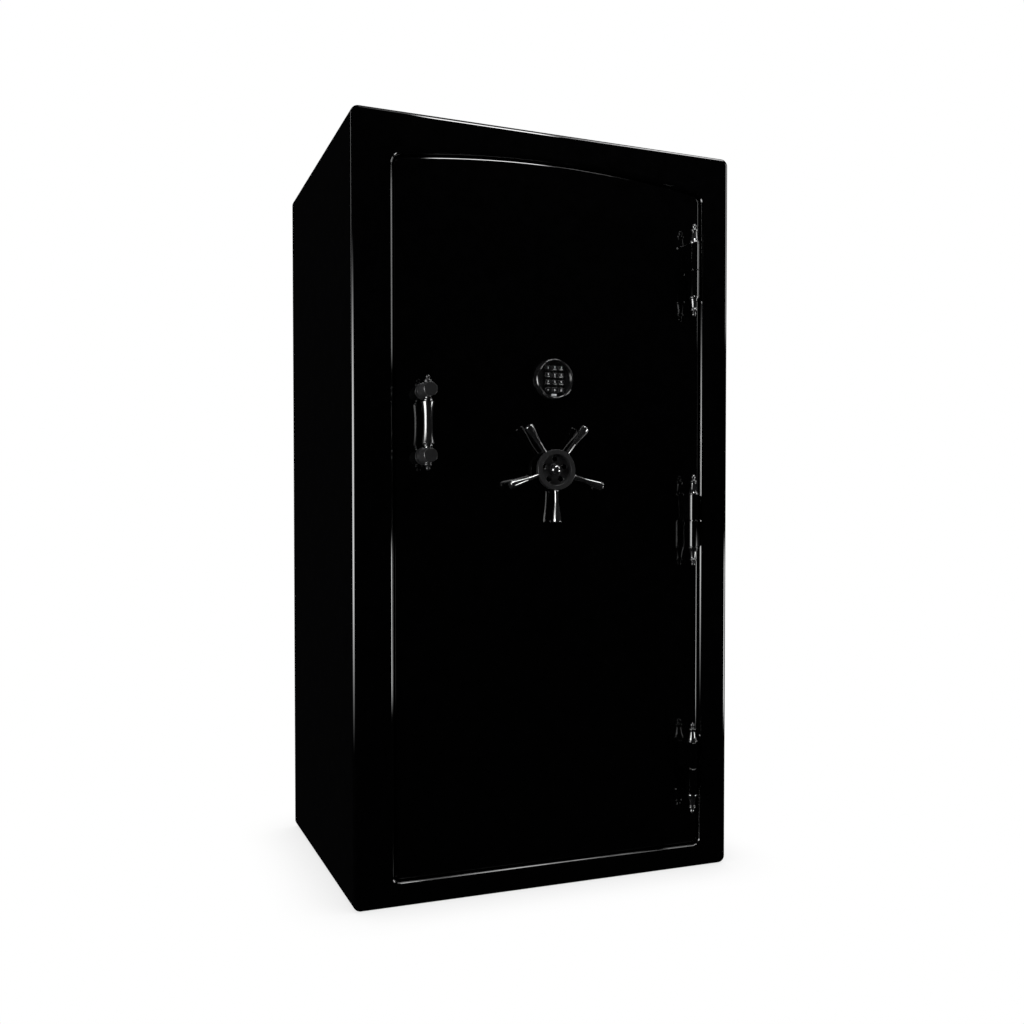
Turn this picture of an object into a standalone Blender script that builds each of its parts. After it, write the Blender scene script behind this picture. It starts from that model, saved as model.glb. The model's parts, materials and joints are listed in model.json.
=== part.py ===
"""Gun safe with a five-spoke handle, electronic keypad and three external hinges.

Metres, +Z up.  The origin is the centre of the cabinet's underside.  The door is
on the -Y side, its hinges are at +X.  At rest the door is closed and the bolts
are drawn back (unlocked).
"""
import math

import bmesh
import bpy
from mathutils import Matrix, Vector

# ---------------------------------------------------------------- dimensions
BODY_W, BODY_H, BODY_D = 0.914, 1.690, 0.698
Y0 = -BODY_D / 2                 # plane of the cabinet's front face
GAP = 0.0003                     # gap between neighbouring pieces
WRAP_R = 0.017                   # long bends of the wrapped body
SHELL_T = 0.0035                 # body sheet
FRONT_R = 0.009                  # bend round the front frame
FRAME_T = 0.0045                 # front frame sheet
ROLL_R = 0.010                   # rolled edge of the recess

DOOR_CX, DOOR_XH = 0.0088, 0.3729  # middle and half width of the door plate
DOOR_Z0, DOOR_APEX = 0.056, 1.623
ARCH_R = 2.40                    # radius of the door's arched top
DOOR_CORNER = 0.018
DOOR_GAP = 0.003
DOOR_Y, DOOR_T = 0.008, 0.008    # door face behind the front plane, plate thickness
STOP_Y = 0.030                   # stop flange behind the front plane
JAMB_Y = 0.060                   # rear edge of the jamb return
JAMB = (-0.347, 0.336, 0.081, 1.564)       # clear opening x0, x1, z0, z1
FRAME_BOX = (-0.330, 0.321, 0.093, 1.552)  # bolt frame outside
FRAME_Y1 = 0.112

HINGE_X, HINGE_Y = 0.3485, -0.024
HINGE_Z = (1.4112, 0.8278, 0.2442)
BARREL_R, BARREL_L = 0.011, 0.1225
PIN_R, BORE_R = 0.0070, 0.0074
FINIAL_L = 0.046

HUB_Z = 0.9405
HUB_Y = -0.014                   # plane of the spokes
HUB_R = 0.045
SPOKE_TIP = 0.1185
SPOKE_LEAN = math.radians(3.4)     # spokes lean out towards the user
KEYPAD_Z = 1.143
KEYPAD_R = 0.045
PULL_X, PULL_Z, PULL_Y = -0.3008, 1.0336, -0.028
PULL_PITCH = 0.1387

TEETH = 20
TRAVEL = 0.030
TURN = math.radians(72.0)
PITCH_R = TRAVEL / TURN
TOOTH = 2 * math.pi * PITCH_R / TEETH
BOLT_R = 0.016
BOLT_Y = 0.080
LAYER_H = (0.066, 0.074)         # depth of the sideways racks
LAYER_V = (0.086, 0.094)         # depth of the upright racks

# ---------------------------------------------------------------- set-up
for old in list(bpy.data.objects):
    bpy.data.objects.remove(old, do_unlink=True)

parts = bpy.data.collections.new("gun_safe")
cutters = bpy.data.collections.new("cutters")
bpy.context.scene.collection.children.link(parts)
bpy.context.scene.collection.children.link(cutters)


def material(name, rgb, rough, metal=0.0, coat=0.0):
    mat = bpy.data.materials.new(name)
    mat.use_nodes = True
    bsdf = mat.node_tree.nodes["Principled BSDF"]
    bsdf.inputs["Base Color"].default_value = (*rgb, 1.0)
    bsdf.inputs["Roughness"].default_value = rough
    bsdf.inputs["Metallic"].default_value = metal
    bsdf.inputs["Coat Weight"].default_value = coat
    return mat


LOOK = {
    "paint": ((0.006, 0.006, 0.007), 0.12, 0.0, 1.0),
    "chrome": ((0.20, 0.20, 0.21), 0.10, 1.0, 0.0),
    "steel": ((0.55, 0.56, 0.58), 0.35, 1.0, 0.0),
    "dark_steel": ((0.12, 0.12, 0.13), 0.45, 1.0, 0.0),
    "board": ((0.72, 0.70, 0.66), 0.9, 0.0, 0.0),
    "carpet": ((0.16, 0.16, 0.17), 0.95, 0.0, 0.0),
    "seal": ((0.03, 0.03, 0.03), 0.7, 0.0, 0.0),
    "plastic": ((0.015, 0.015, 0.016), 0.35, 0.0, 0.0),
    "key": ((0.25, 0.25, 0.26), 0.4, 0.0, 0.0),
    "window": ((0.6, 0.6, 0.62), 0.2, 0.0, 0.0),
    "lock": ((0.45, 0.42, 0.36), 0.4, 1.0, 0.0),
}


# ---------------------------------------------------------------- helpers
def pt(x, y, z):
    """A point given with y measured back from the front plane."""
    return Vector((x, Y0 + y, z))


def link(obj, look=None, cutter=False):
    if cutter:
        cutters.objects.link(obj)
        obj.hide_render = True
        obj.display_type = "WIRE"
        return obj
    parts.objects.link(obj)
    obj.data.materials.clear()
    rgb, rough, metal, coat = LOOK[look]
    obj.data.materials.append(material(obj.name, rgb, rough, metal, coat))
    return obj


def from_bmesh(name, bm, look=None, cutter=False, smooth=False):
    bmesh.ops.recalc_face_normals(bm, faces=bm.faces)
    if bm.calc_volume(signed=True) < 0:
        bmesh.ops.reverse_faces(bm, faces=bm.faces)
    mesh = bpy.data.meshes.new(name)
    bm.to_mesh(mesh)
    bm.free()
    if smooth:
        mesh.shade_smooth()
        mesh.set_sharp_from_angle(angle=math.radians(35))
    obj = bpy.data.objects.new(name, mesh)
    return link(obj, look, cutter)


def box(name, x0, x1, y0, y1, z0, z1, look=None, cutter=False, bevel=0.0):
    """A block; its origin is its own centre."""
    bm = bmesh.new()
    bmesh.ops.create_cube(bm, size=1.0)
    bmesh.ops.scale(bm, vec=(x1 - x0, y1 - y0, z1 - z0), verts=bm.verts)
    obj = from_bmesh(name, bm, look, cutter)
    obj.location = pt((x0 + x1) / 2, (y0 + y1) / 2, (z0 + z1) / 2)
    if bevel:
        add_bevel(obj, bevel, 2)
    return obj


def add_bevel(obj, width, segments, angle=30.0):
    mod = obj.modifiers.new("edge", "BEVEL")
    mod.width = width
    mod.segments = segments
    mod.limit_method = "ANGLE"
    mod.angle_limit = math.radians(angle)
    mod.use_clamp_overlap = True
    return mod


def rod(name, centre, direction, radius, length, sides=20, look=None, cutter=False):
    """A round bar centred on a point."""
    bm = bmesh.new()
    bmesh.ops.create_cone(bm, cap_ends=True, segments=sides, radius1=radius,
                          radius2=radius, depth=length)
    obj = from_bmesh(name, bm, look, cutter, smooth=True)
    obj.location = centre
    obj.rotation_mode = "QUATERNION"
    obj.rotation_quaternion = Vector((0, 0, 1)).rotation_difference(Vector(direction))
    return obj


def turned(name, profile, centre, direction=(0, 0, 1), steps=16, look=None, cutter=False):
    """A turned shape: (radius, height) pairs from the top down the outside."""
    mesh = bpy.data.meshes.new(name)
    verts = [(r, 0.0, h) for r, h in profile]
    mesh.from_pydata(verts, [(i, i + 1) for i in range(len(verts) - 1)], [])
    obj = bpy.data.objects.new(name, mesh)
    link(obj, look, cutter)
    mod = obj.modifiers.new("turn", "SCREW")
    mod.axis = "Z"
    mod.steps = steps
    mod.render_steps = steps
    mod.use_merge_vertices = True
    mod.merge_threshold = 0.00005
    mod.use_smooth_shade = True
    obj.location = centre
    obj.rotation_mode = "QUATERNION"
    obj.rotation_quaternion = Vector((0, 0, 1)).rotation_difference(Vector(direction))
    return obj


def outline_mesh(name, loops, half, look=None, cutter=False):
    """A flat outline (first loop) with holes, filled and given a thickness."""
    curve = bpy.data.curves.new(name, "CURVE")
    curve.dimensions = "2D"
    curve.fill_mode = "BOTH"
    # small outlines with level edges fill cleanly at a larger size and turned a little
    big, turn = 100.0, 0.6457
    co, si = math.cos(turn), math.sin(turn)
    curve.extrude = half * big
    for loop in loops:
        spline = curve.splines.new("POLY")
        spline.points.add(len(loop) - 1)
        for point, (u, v) in zip(spline.points, loop):
            point.co = ((u * co - v * si) * big, (u * si + v * co) * big, 0.0, 1.0)
        spline.use_cyclic_u = True
    tmp = bpy.data.objects.new(name + "_outline", curve)
    bpy.context.scene.collection.objects.link(tmp)
    bpy.context.view_layer.update()
    deps = bpy.context.evaluated_depsgraph_get()
    mesh = bpy.data.meshes.new_from_object(tmp.evaluated_get(deps))
    bpy.data.objects.remove(tmp, do_unlink=True)
    bm = bmesh.new()
    bm.from_mesh(mesh)
    bpy.data.meshes.remove(mesh)
    bmesh.ops.remove_doubles(bm, verts=bm.verts, dist=1e-4)
    bmesh.ops.scale(bm, vec=(1 / big, 1 / big, 1 / big), verts=bm.verts)
    bmesh.ops.rotate(bm, cent=(0, 0, 0), matrix=Matrix.Rotation(-turn, 3, "Z"), verts=bm.verts)
    bmesh.ops.dissolve_limit(bm, angle_limit=math.radians(0.5),
                             verts=bm.verts, edges=bm.edges)
    return from_bmesh(name, bm, look, cutter)


def plate(name, loops, y0, y1, look=None, cutter=False, at=(0.0, 0.0)):
    """An upright plate facing the front: outlines in x, z about the point 'at'."""
    loops = [[(x - at[0], z - at[1]) for x, z in loop] for loop in loops]
    obj = outline_mesh(name, loops, (y1 - y0) / 2, look, cutter)
    obj.location = pt(at[0], (y0 + y1) / 2, at[1])
    obj.rotation_euler = (math.radians(90), 0, 0)
    return obj


def shelf(name, loops, z0, z1, look, at=(0.0, 0.0)):
    """A level board: outlines in x and in y measured from the front plane."""
    loops = [[(x - at[0], y - at[1]) for x, y in loop] for loop in loops]
    obj = outline_mesh(name, loops, (z1 - z0) / 2, look)
    obj.location = pt(at[0], at[1], (z0 + z1) / 2)
    return obj


def boolean(obj, tool, operation="DIFFERENCE"):
    mod = obj.modifiers.new(operation.lower(), "BOOLEAN")
    mod.operation = operation
    mod.solver = "EXACT"
    mod.object = tool
    return mod


def pivot(name, place):
    empty = bpy.data.objects.new(name, None)
    parts.objects.link(empty)
    empty.location = place
    empty.empty_display_size = 0.05
    return empty


def hang(empty, *objs):
    for obj in objs:
        obj.parent = empty
        obj.matrix_parent_inverse = Matrix.Translation(empty.location).inverted()


def arc(cx, cy, r, a0, a1, n):
    out = []
    for i in range(n + 1):
        a = math.radians(a0 + (a1 - a0) * i / n)
        out.append((cx + r * math.cos(a), cy + r * math.sin(a)))
    return out


def rect(x0, x1, z0, z1):
    return [(x0, z0), (x1, z0), (x1, z1), (x0, z1)]


def circle(cx, cz, r, n, turn=0.0):
    return [(cx + r * math.cos(turn + 2 * math.pi * i / n),
             cz + r * math.sin(turn + 2 * math.pi * i / n)) for i in range(n)]


CORNER_N, TOP_N = 4, 9


def round_rect(x0, x1, z0, z1, r):
    """Corners of CORNER_N steps and TOP_N extra points along the top."""
    pts = arc(x0 + r, z0 + r, r, 180, 270, CORNER_N)
    pts += arc(x1 - r, z0 + r, r, 270, 360, CORNER_N)
    pts += arc(x1 - r, z1 - r, r, 0, 90, CORNER_N)
    a, b = x1 - r, x0 + r
    pts += [(a + (b - a) * (i + 1) / (TOP_N + 1), z1) for i in range(TOP_N)]
    pts += arc(x0 + r, z1 - r, r, 90, 180, CORNER_N)
    return pts


def arched(offset):
    """The door's arched outline, grown by an offset."""
    xh = DOOR_XH + offset
    z0 = DOOR_Z0 - offset
    big = ARCH_R + offset
    zc = DOOR_APEX + offset - big
    r = DOOR_CORNER + offset
    rb = 0.012 + offset
    fx = xh - r
    fz = zc + math.sqrt((big - r) ** 2 - fx ** 2)
    lean = math.degrees(math.atan2(fz - zc, fx))
    pts = arc(-xh + rb, z0 + rb, rb, 180, 270, CORNER_N)
    pts += arc(xh - rb, z0 + rb, rb, 270, 360, CORNER_N)
    pts += arc(fx, fz, r, 0, lean, CORNER_N)
    span = arc(0, zc, big, lean, 180 - lean, TOP_N + 1)
    pts += span[1:-1]
    pts += arc(-fx, fz, r, 180 - lean, 180, CORNER_N)
    return [(DOOR_CX + x, z) for x, z in pts]


def body_outline(inset):
    return round_rect(-BODY_W / 2 + inset, BODY_W / 2 - inset, inset,
                      BODY_H - inset, WRAP_R - inset)


# ---------------------------------------------------------------- cabinet
shell_y0 = 0.0153
body_shell = plate("body_shell", [body_outline(0.0), body_outline(SHELL_T)],
                   shell_y0, BODY_D - 0.0040, "paint")
anchor_xy = [(sx * 0.300, yy) for sx in (-1, 1) for yy in (0.190, 0.554)]
for i, (ax, ay) in enumerate(anchor_xy):
    boolean(body_shell, rod("cut_anchor_%d" % i, pt(ax, ay, 0.0), (0, 0, 1),
                            0.007, 0.02, 12, cutter=True))

back_panel = plate("back_panel", [body_outline(0.0)], BODY_D - 0.0037, BODY_D, "paint")
add_bevel(back_panel, 0.0012, 1, 60)


def front_frame_mesh():
    """The formed front frame: loops joined in turn, then thickened."""
    bm = bmesh.new()
    loops = []

    def add(points, y):
        loops.append([bm.verts.new(pt(x, y, z)) for x, z in points])

    add(body_outline(0.0), 0.0150)
    for a in (0, 30, 60, 90):
        s, c = math.sin(math.radians(a)), math.cos(math.radians(a))
        add(body_outline(FRONT_R * (1 - c)), FRONT_R * (1 - s))
    # the rolled edge, from the front face to the wall of the recess
    for a in (0, 22.5, 45, 67.5, 90):
        s, c = math.sin(math.radians(a)), math.cos(math.radians(a))
        add(arched(DOOR_GAP + ROLL_R * (1 - s)), ROLL_R * (1 - c))
    add(arched(DOOR_GAP), STOP_Y)
    x0, x1, z0, z1 = JAMB
    add(round_rect(x0, x1, z0, z1, 0.006), STOP_Y)
    add(round_rect(x0, x1, z0, z1, 0.006), JAMB_Y)
    for one, two in zip(loops, loops[1:]):
        n = len(one)
        for i in range(n):
            j = (i + 1) % n
            bm.faces.new((one[i], one[j], two[j], two[i]))
    return bm


bm = front_frame_mesh()
bmesh.ops.recalc_face_normals(bm, faces=bm.faces)
front_face = max((f for f in bm.faces if abs(f.normal.y) > 0.99
                  and f.calc_center_median().y < Y0 + 0.001), key=lambda f: f.calc_area())
if front_face.normal.y > 0:
    bmesh.ops.reverse_faces(bm, faces=bm.faces)
mesh = bpy.data.meshes.new("front_frame")
bm.to_mesh(mesh)
bm.free()
front_frame = link(bpy.data.objects.new("front_frame", mesh), "paint")
mod = front_frame.modifiers.new("sheet", "SOLIDIFY")
mod.thickness = FRAME_T
mod.offset = -1.0
mod.use_even_offset = True

# fireboard lining
LY0, LY1 = 0.066, 0.6687
XI = BODY_W / 2 - SHELL_T - GAP
ZT = BODY_H - SHELL_T - GAP
LINER = 0.025
box("liner_left", -XI, -XI + LINER, LY0, LY1, 0.0180, 1.6720, "carpet")
box("liner_right", XI - LINER, XI, LY0, LY1, 0.0180, 1.6720, "carpet")
box("liner_top", -XI + LINER + GAP, XI - LINER - GAP, LY0, LY1, ZT - LINER, ZT, "carpet")
liner_floor = box("liner_floor", -XI + LINER + GAP, XI - LINER - GAP, LY0, LY1,
                  SHELL_T + GAP, SHELL_T + GAP + LINER, "carpet")
for i, (ax, ay) in enumerate(anchor_xy):
    boolean(liner_floor, rod("cut_floor_%d" % i, pt(ax, ay, 0.015), (0, 0, 1),
                             0.012, 0.05, 12, cutter=True))
box("liner_back", -0.4395, 0.4395, 0.6690, 0.6936, 0.0175, 1.6725, "carpet")

# interior fittings
IX = XI - LINER - GAP            # half width inside the lining
FLOOR = SHELL_T + GAP + LINER
box("top_shelf", -IX, IX, 0.300, 0.6685, 1.308, 1.326, "carpet", bevel=0.003)
box("divider_panel", 0.060, 0.078, 0.260, 0.6685, FLOOR + GAP, 1.3077, "carpet", bevel=0.003)
box("side_shelf_1", 0.0783, IX, 0.280, 0.6685, 0.860, 0.878, "carpet", bevel=0.003)
box("side_shelf_2", 0.0783, IX, 0.280, 0.6685, 0.440, 0.458, "carpet", bevel=0.003)

rack_x0, rack_x1, rack_y0, rack_y1 = -IX, 0.0597, 0.564, 0.6685
notch_r = 0.019
loop = [(rack_x0, rack_y1), (rack_x0, rack_y0)]
NOTCHES = [-0.380 + 0.076 * i for i in range(6)]
for nx in NOTCHES:
    loop += [(nx - notch_r - 0.004, rack_y0), (nx - notch_r, rack_y0 + 0.010)]
    loop += arc(nx, rack_y0 + 0.045, notch_r, 180, 0, 8)
    loop += [(nx + notch_r, rack_y0 + 0.010), (nx + notch_r + 0.004, rack_y0)]
loop += [(rack_x1, rack_y0), (rack_x1, rack_y1)]
shelf("barrel_rack", [loop], 0.900, 0.918, "carpet", at=(-0.18, 0.61))

# ---------------------------------------------------------------- hinges
finial = [(0.0, 0.0463), (0.0052, 0.0410), (0.0034, 0.0345), (0.0080, 0.0318),
          (0.0080, 0.0290), (0.0060, 0.0265), (0.0080, 0.0110), (0.0112, 0.0022),
          (0.0112, 0.0)]
HALF = BARREL_L / 2
door_pivot = pivot("door_pivot", pt(HINGE_X, HINGE_Y, HINGE_Z[1]))
for n, hz in enumerate(HINGE_Z, 1):
    here = pt(HINGE_X, HINGE_Y, hz)
    prof = [(r, h + HALF + GAP) for r, h in finial] + [(PIN_R, HALF + GAP)]
    prof += [(PIN_R, -HALF - GAP)]
    prof += [(r, -h - HALF - GAP) for r, h in reversed(finial)]
    turned("hinge_pin_%d" % n, prof, here, look="chrome", steps=12)

    # lower knuckle and the block that carries it into the recess
    low = rod("frame_knuckle_%d" % n, here - Vector((0, 0, HALF / 2 + 0.0003)), (0, 0, 1),
              BARREL_R, HALF - 0.0006, 24, "paint")
    reach = DOOR_CX + DOOR_XH + DOOR_GAP - GAP - HINGE_X
    depth = STOP_Y - GAP - HINGE_Y
    block = outline_mesh("add_block_%d" % n, [[
        (0.0010, 0.0060), (0.0095, 0.0020), (reach, 0.0400), (reach, depth),
        (0.0010, depth)]], (HALF - 0.003) / 2, cutter=True)
    block.location = here - Vector((0, 0, HALF / 2 + 0.0005))
    boolean(low, block, "UNION")
    boolean(low, rod("cut_low_%d" % n, here, (0, 0, 1), BORE_R, 0.2, 24, cutter=True))

    # upper knuckle and its tapered leaf on the door
    up = rod("door_knuckle_%d" % n, here + Vector((0, 0, HALF / 2 + 0.0003)), (0, 0, 1),
             BARREL_R, HALF - 0.0006, 24, "paint")
    leaf = outline_mesh("add_leaf_%d" % n, [[
        (-0.0103, -0.0030), (-0.0200, 0.0316), (-0.0015, 0.0316), (0.0040, 0.0060)]],
        0.0295, cutter=True)
    leaf.location = here + Vector((0, 0, HALF / 2 + 0.0003))
    boolean(up, leaf, "UNION")
    boolean(up, rod("cut_up_%d" % n, here, (0, 0, 1), BORE_R, 0.2, 24, cutter=True))
    hang(door_pivot, up)

# ---------------------------------------------------------------- door
door_plate = plate("door_plate", [arched(0.0)], DOOR_Y, DOOR_Y + DOOR_T, "paint")
mod = door_plate.modifiers.new("front_edge", "BEVEL")
mod.width = 0.006
mod.segments = 4
mod.limit_method = "ANGLE"
mod.angle_limit = math.radians(60)
# only the front edge is rounded: it is weighted by hand below
attr = door_plate.data.attributes.new("bevel_weight_edge", "FLOAT", "EDGE")
for i, edge in enumerate(door_plate.data.edges):
    a, b = (door_plate.data.vertices[k].co for k in edge.vertices)
    attr.data[i].value = 1.0 if a.z > 0 and b.z > 0 else 0.0
mod.limit_method = "WEIGHT"
for n, hz in enumerate(HINGE_Z, 1):
    boolean(door_plate, box("cut_notch_%d" % n, HINGE_X - 0.0010, 0.40, -0.01, 0.04,
                            hz - HALF - 0.003, hz + 0.001, cutter=True))
boolean(door_plate, rod("cut_spindle_plate", pt(0, 0.01, HUB_Z), (0, 1, 0), 0.0095, 0.05,
                        20, cutter=True))
boolean(door_plate, rod("cut_cable_plate", pt(0.012, 0.01, KEYPAD_Z - 0.012), (0, 1, 0),
                        0.004, 0.05, 12, cutter=True))
hang(door_pivot, door_plate)

sx0, sx1 = -0.3625, 0.3470
door_seal = plate("door_seal", [round_rect(sx0, sx1, 0.063, 1.580, 0.012),
                                round_rect(sx0 + 0.014, sx1 - 0.014, 0.077, 1.566, 0.006)],
                  DOOR_Y + DOOR_T + GAP, STOP_Y - GAP, "seal")
hang(door_pivot, door_seal)

fx0, fx1, fz0, fz1 = FRAME_BOX
ft = 0.003
bolt_frame = plate("bolt_frame", [rect(fx0, fx1, fz0, fz1),
                                  rect(fx0 + ft, fx1 - ft, fz0 + ft, fz1 - ft)],
                   DOOR_Y + DOOR_T + GAP, FRAME_Y1, "dark_steel")
BOLTS_Z = (0.280, 0.615, 1.050, 1.385)
BOLTS_X = (-0.200, 0.200)
for i, bz in enumerate(BOLTS_Z):
    boolean(bolt_frame, rod("cut_side_bolt_%d" % i, pt(0, BOLT_Y, bz), (1, 0, 0),
                            BOLT_R + 0.0012, 1.0, 12, cutter=True))
for i, bx in enumerate(BOLTS_X):
    boolean(bolt_frame, rod("cut_end_bolt_%d" % i, pt(bx, BOLT_Y, 0.85), (0, 0, 1),
                            BOLT_R + 0.0012, 1.8, 12, cutter=True))
hang(door_pivot, bolt_frame)

g = ft + GAP
hole = circle(0, HUB_Z, 0.0120, 16)
cable = circle(0.012, KEYPAD_Z - 0.012, 0.005, 10)
board = plate("door_fireboard", [rect(fx0 + g, fx1 - g, fz0 + g, fz1 - g), hole, cable],
              DOOR_Y + DOOR_T + GAP, 0.0400, "board")
hard = plate("hard_plate", [rect(-0.095, 0.095, 0.8625, 1.1900), hole, cable],
             0.0403, 0.0463, "steel")
inner = box("door_inner_panel", fx0 + 0.002, fx1 - 0.002, FRAME_Y1 + GAP, FRAME_Y1 + 0.008,
            fz0 + 0.002, fz1 - 0.002, "carpet", bevel=0.003)
hang(door_pivot, board, hard, inner)

# lock on four standoffs, with a guide for its bolt
LX0, LX1, LZ0, LZ1 = -0.085, 0.015, 1.0545, 1.1225
LOCK_Z = 1.0885
lock_body = box("lock_body", LX0, LX1, 0.068, 0.100, LZ0, LZ1, "lock", bevel=0.002)
for i, (lx, lz) in enumerate(((LX0 + 0.012, LZ0 + 0.012), (LX1 - 0.012, LZ0 + 0.012),
                              (LX0 + 0.012, LZ1 - 0.012), (LX1 - 0.012, LZ1 - 0.012))):
    boolean(lock_body, rod("add_post_%d" % i, pt(lx, 0.0600, lz), (0, 1, 0), 0.006,
                           0.0268, 12, cutter=True), "UNION")
boolean(lock_body, box("cut_lock_guide", -0.045, 0.03, 0.0833, 0.0967,
                       LOCK_Z - 0.0063, LOCK_Z + 0.0063, cutter=True))
hang(door_pivot, lock_body)

lock_pivot = pivot("lock_slide", pt(0.0, 0.090, LOCK_Z))
lock_bolt = box("lock_bolt", -0.030, 0.0165, 0.0840, 0.0960, LOCK_Z - 0.006,
                LOCK_Z + 0.006, "steel", bevel=0.0008)
hang(lock_pivot, lock_bolt)


# ---------------------------------------------------------------- bolt work
def involute(a):
    return math.tan(a) - a


def pinion_outline(backlash=0.0004):
    """Involute teeth, one centred on the +x side."""
    press = math.radians(20)
    base = PITCH_R * math.cos(press)
    half = (TOOTH / 2 - backlash) / 2 / PITCH_R
    pts = []
    for k in range(TEETH):
        mid = 2 * math.pi * k / TEETH
        flank = []
        for r in (base + 0.0001, PITCH_R, PITCH_R + 0.0019):
            a = half + involute(press) - involute(math.acos(min(1.0, base / r)))
            flank.append((r, a))
        left = [(PITCH_R - 0.0027, flank[0][1] + 0.004)] + flank
        for r, a in left:
            pts.append((r * math.cos(mid - a), r * math.sin(mid - a)))
        for r, a in reversed(left):
            pts.append((r * math.cos(mid + a), r * math.sin(mid + a)))
    return pts


def rack_outline(u0, u1, back, first, count):
    """A rack whose teeth point to -v; v is measured from its pitch line.

    'first' is the u of the first tooth's centre."""
    slope = math.tan(math.radians(20))
    half = (TOOTH / 2 - 0.0004) / 2
    root, tip = 0.0026, -0.0019
    pts = []
    for k in range(count):
        c = first + k * TOOTH
        pts += [(c - half - root * slope, root), (c - half - tip * slope, tip),
                (c + half + tip * slope, tip), (c + half + root * slope, root)]
    pts += [(u1, root), (u1, back), (u0, back), (u0, root)]
    return pts


handle_pivot = pivot("handle_pivot", pt(0, HUB_Y, HUB_Z))
spindle = plate("spindle", [pinion_outline()], 0.0620, 0.0985, "steel", at=(0, 0))
spindle.location = pt(0, (0.0620 + 0.0985) / 2, HUB_Z)
boolean(spindle, rod("add_shaft", pt(0, 0.04925, HUB_Z), (0, 1, 0), 0.0080, 0.1095, 20,
                     cutter=True), "UNION")
hang(handle_pivot, spindle)

FIRST = -2.5 * TOOTH              # a gap of every rack is over the pinion's tooth
COUNT = 9


def side_bar(name, side, look="steel"):
    """side -1: left bar, rack above the pinion; side +1: right bar, rack below."""
    root = pivot(name + "_slide", pt(0, BOLT_Y, HUB_Z))
    x_bar = (-0.289, -0.281) if side < 0 else (0.276, 0.284)
    tip = -0.335 if side < 0 else 0.329
    bar = box(name, x_bar[0], x_bar[1], 0.0610, 0.0990, 0.240, 1.425, look)
    inner_x = x_bar[0] + 0.002 if side > 0 else x_bar[1] - 0.002
    for i, bz in enumerate(BOLTS_Z):
        mid = (inner_x + tip) / 2
        tool = rod("add_%s_%d" % (name, i), pt(mid, BOLT_Y, bz), (1, 0, 0), BOLT_R,
                   abs(tip - inner_x), 16, cutter=True)
        boolean(bar, tool, "UNION")
    # rack: u runs along the direction away from the bar
    reach = abs(inner_x)
    pts = rack_outline(-reach, 0.047, 0.0226, FIRST, COUNT)
    if side < 0:
        loop = [(u, PITCH_R + v) for u, v in pts]
    else:
        loop = [(-u, -PITCH_R - v) for u, v in pts]
    rack = plate("add_rack_" + name, [[(x, z + HUB_Z) for x, z in loop]],
                 LAYER_H[0], LAYER_H[1], cutter=True, at=(0, HUB_Z))
    boolean(bar, rack, "UNION")
    hang(root, bar)
    return bar, root


def end_bar(name, side, look="steel"):
    """side +1: upper bar, rack right of the pinion; side -1: lower bar, rack left."""
    root = pivot(name + "_slide", pt(0, BOLT_Y, HUB_Z))
    z_bar = (1.508, 1.516) if side > 0 else (0.129, 0.137)
    tip = 1.558 if side > 0 else 0.087
    bar = box(name, -0.235, 0.235, 0.0610, 0.0990, z_bar[0], z_bar[1], look)
    inner_z = z_bar[0] + 0.002 if side > 0 else z_bar[1] - 0.002
    for i, bx in enumerate(BOLTS_X):
        mid = (inner_z + tip) / 2
        tool = rod("add_%s_%d" % (name, i), pt(bx, BOLT_Y, mid), (0, 0, 1), BOLT_R,
                   abs(tip - inner_z), 16, cutter=True)
        boolean(bar, tool, "UNION")
    reach = abs(inner_z - HUB_Z)
    pts = rack_outline(-reach, 0.047, 0.0226, FIRST, COUNT)
    if side > 0:
        loop = [(PITCH_R + v, -u) for u, v in pts]
    else:
        loop = [(-PITCH_R - v, u) for u, v in pts]
    rack = plate("add_rack_" + name, [[(x, z + HUB_Z) for x, z in loop]],
                 LAYER_V[0], LAYER_V[1], cutter=True, at=(0, HUB_Z))
    boolean(bar, rack, "UNION")
    if side > 0:
        # tab that the lock's bolt blocks, clear of it at both ends of the travel
        boolean(bar, box("add_tab", 0.0175, PITCH_R + 0.006, LAYER_V[0], LAYER_V[1],
                         LOCK_Z - 0.023, LOCK_Z - 0.007, cutter=True), "UNION")
    hang(root, bar)
    return bar, root


bar_left, slide_left = side_bar("bolt_bar_left", -1)
bar_right, slide_right = side_bar("bolt_bar_right", 1)
bar_top, slide_top = end_bar("bolt_bar_top", 1)
bar_bottom, slide_bottom = end_bar("bolt_bar_bottom", -1)

# ---------------------------------------------------------------- five-spoke handle
# turned about the spindle: height is measured towards the viewer from the spokes' plane
hub_profile = [
    (0.0, -0.0010), (0.0130, -0.0010), (0.0150, -0.0044), (0.0342, -0.0044),
    (0.0350, 0.0055), (0.0370, 0.0072), (0.0430, 0.0072), (0.0450, 0.0050),
    (0.0450, -0.0050), (0.0430, -0.0075), (0.0180, -0.0085),
    (0.0165, -0.0180), (0.0190, -0.0214), (0.0086, -0.0214), (0.0086, -0.0080),
    (0.0, -0.0080)]
hub = turned("hub", hub_profile, pt(0, HUB_Y, HUB_Z), (0, -1, 0), 24, "chrome")
for k in range(5):
    a = math.radians(90 + 72 * k)
    boolean(hub, rod("cut_hub_%d" % k, pt(0.0245 * math.cos(a), HUB_Y,
                                          HUB_Z + 0.0245 * math.sin(a)),
                     (0, 1, 0), 0.00475, 0.04, 10, cutter=True))
hub_cap = turned("hub_cap", [(0.0, 0.0105), (0.0045, 0.0100), (0.0085, 0.0080),
                             (0.0112, 0.0045), (0.0120, 0.0), (0.0120, -0.0007),
                             (0.0, -0.0007)],
                 pt(0, HUB_Y, HUB_Z), (0, -1, 0), 20, "chrome")
hang(handle_pivot, hub, hub_cap)

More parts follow.
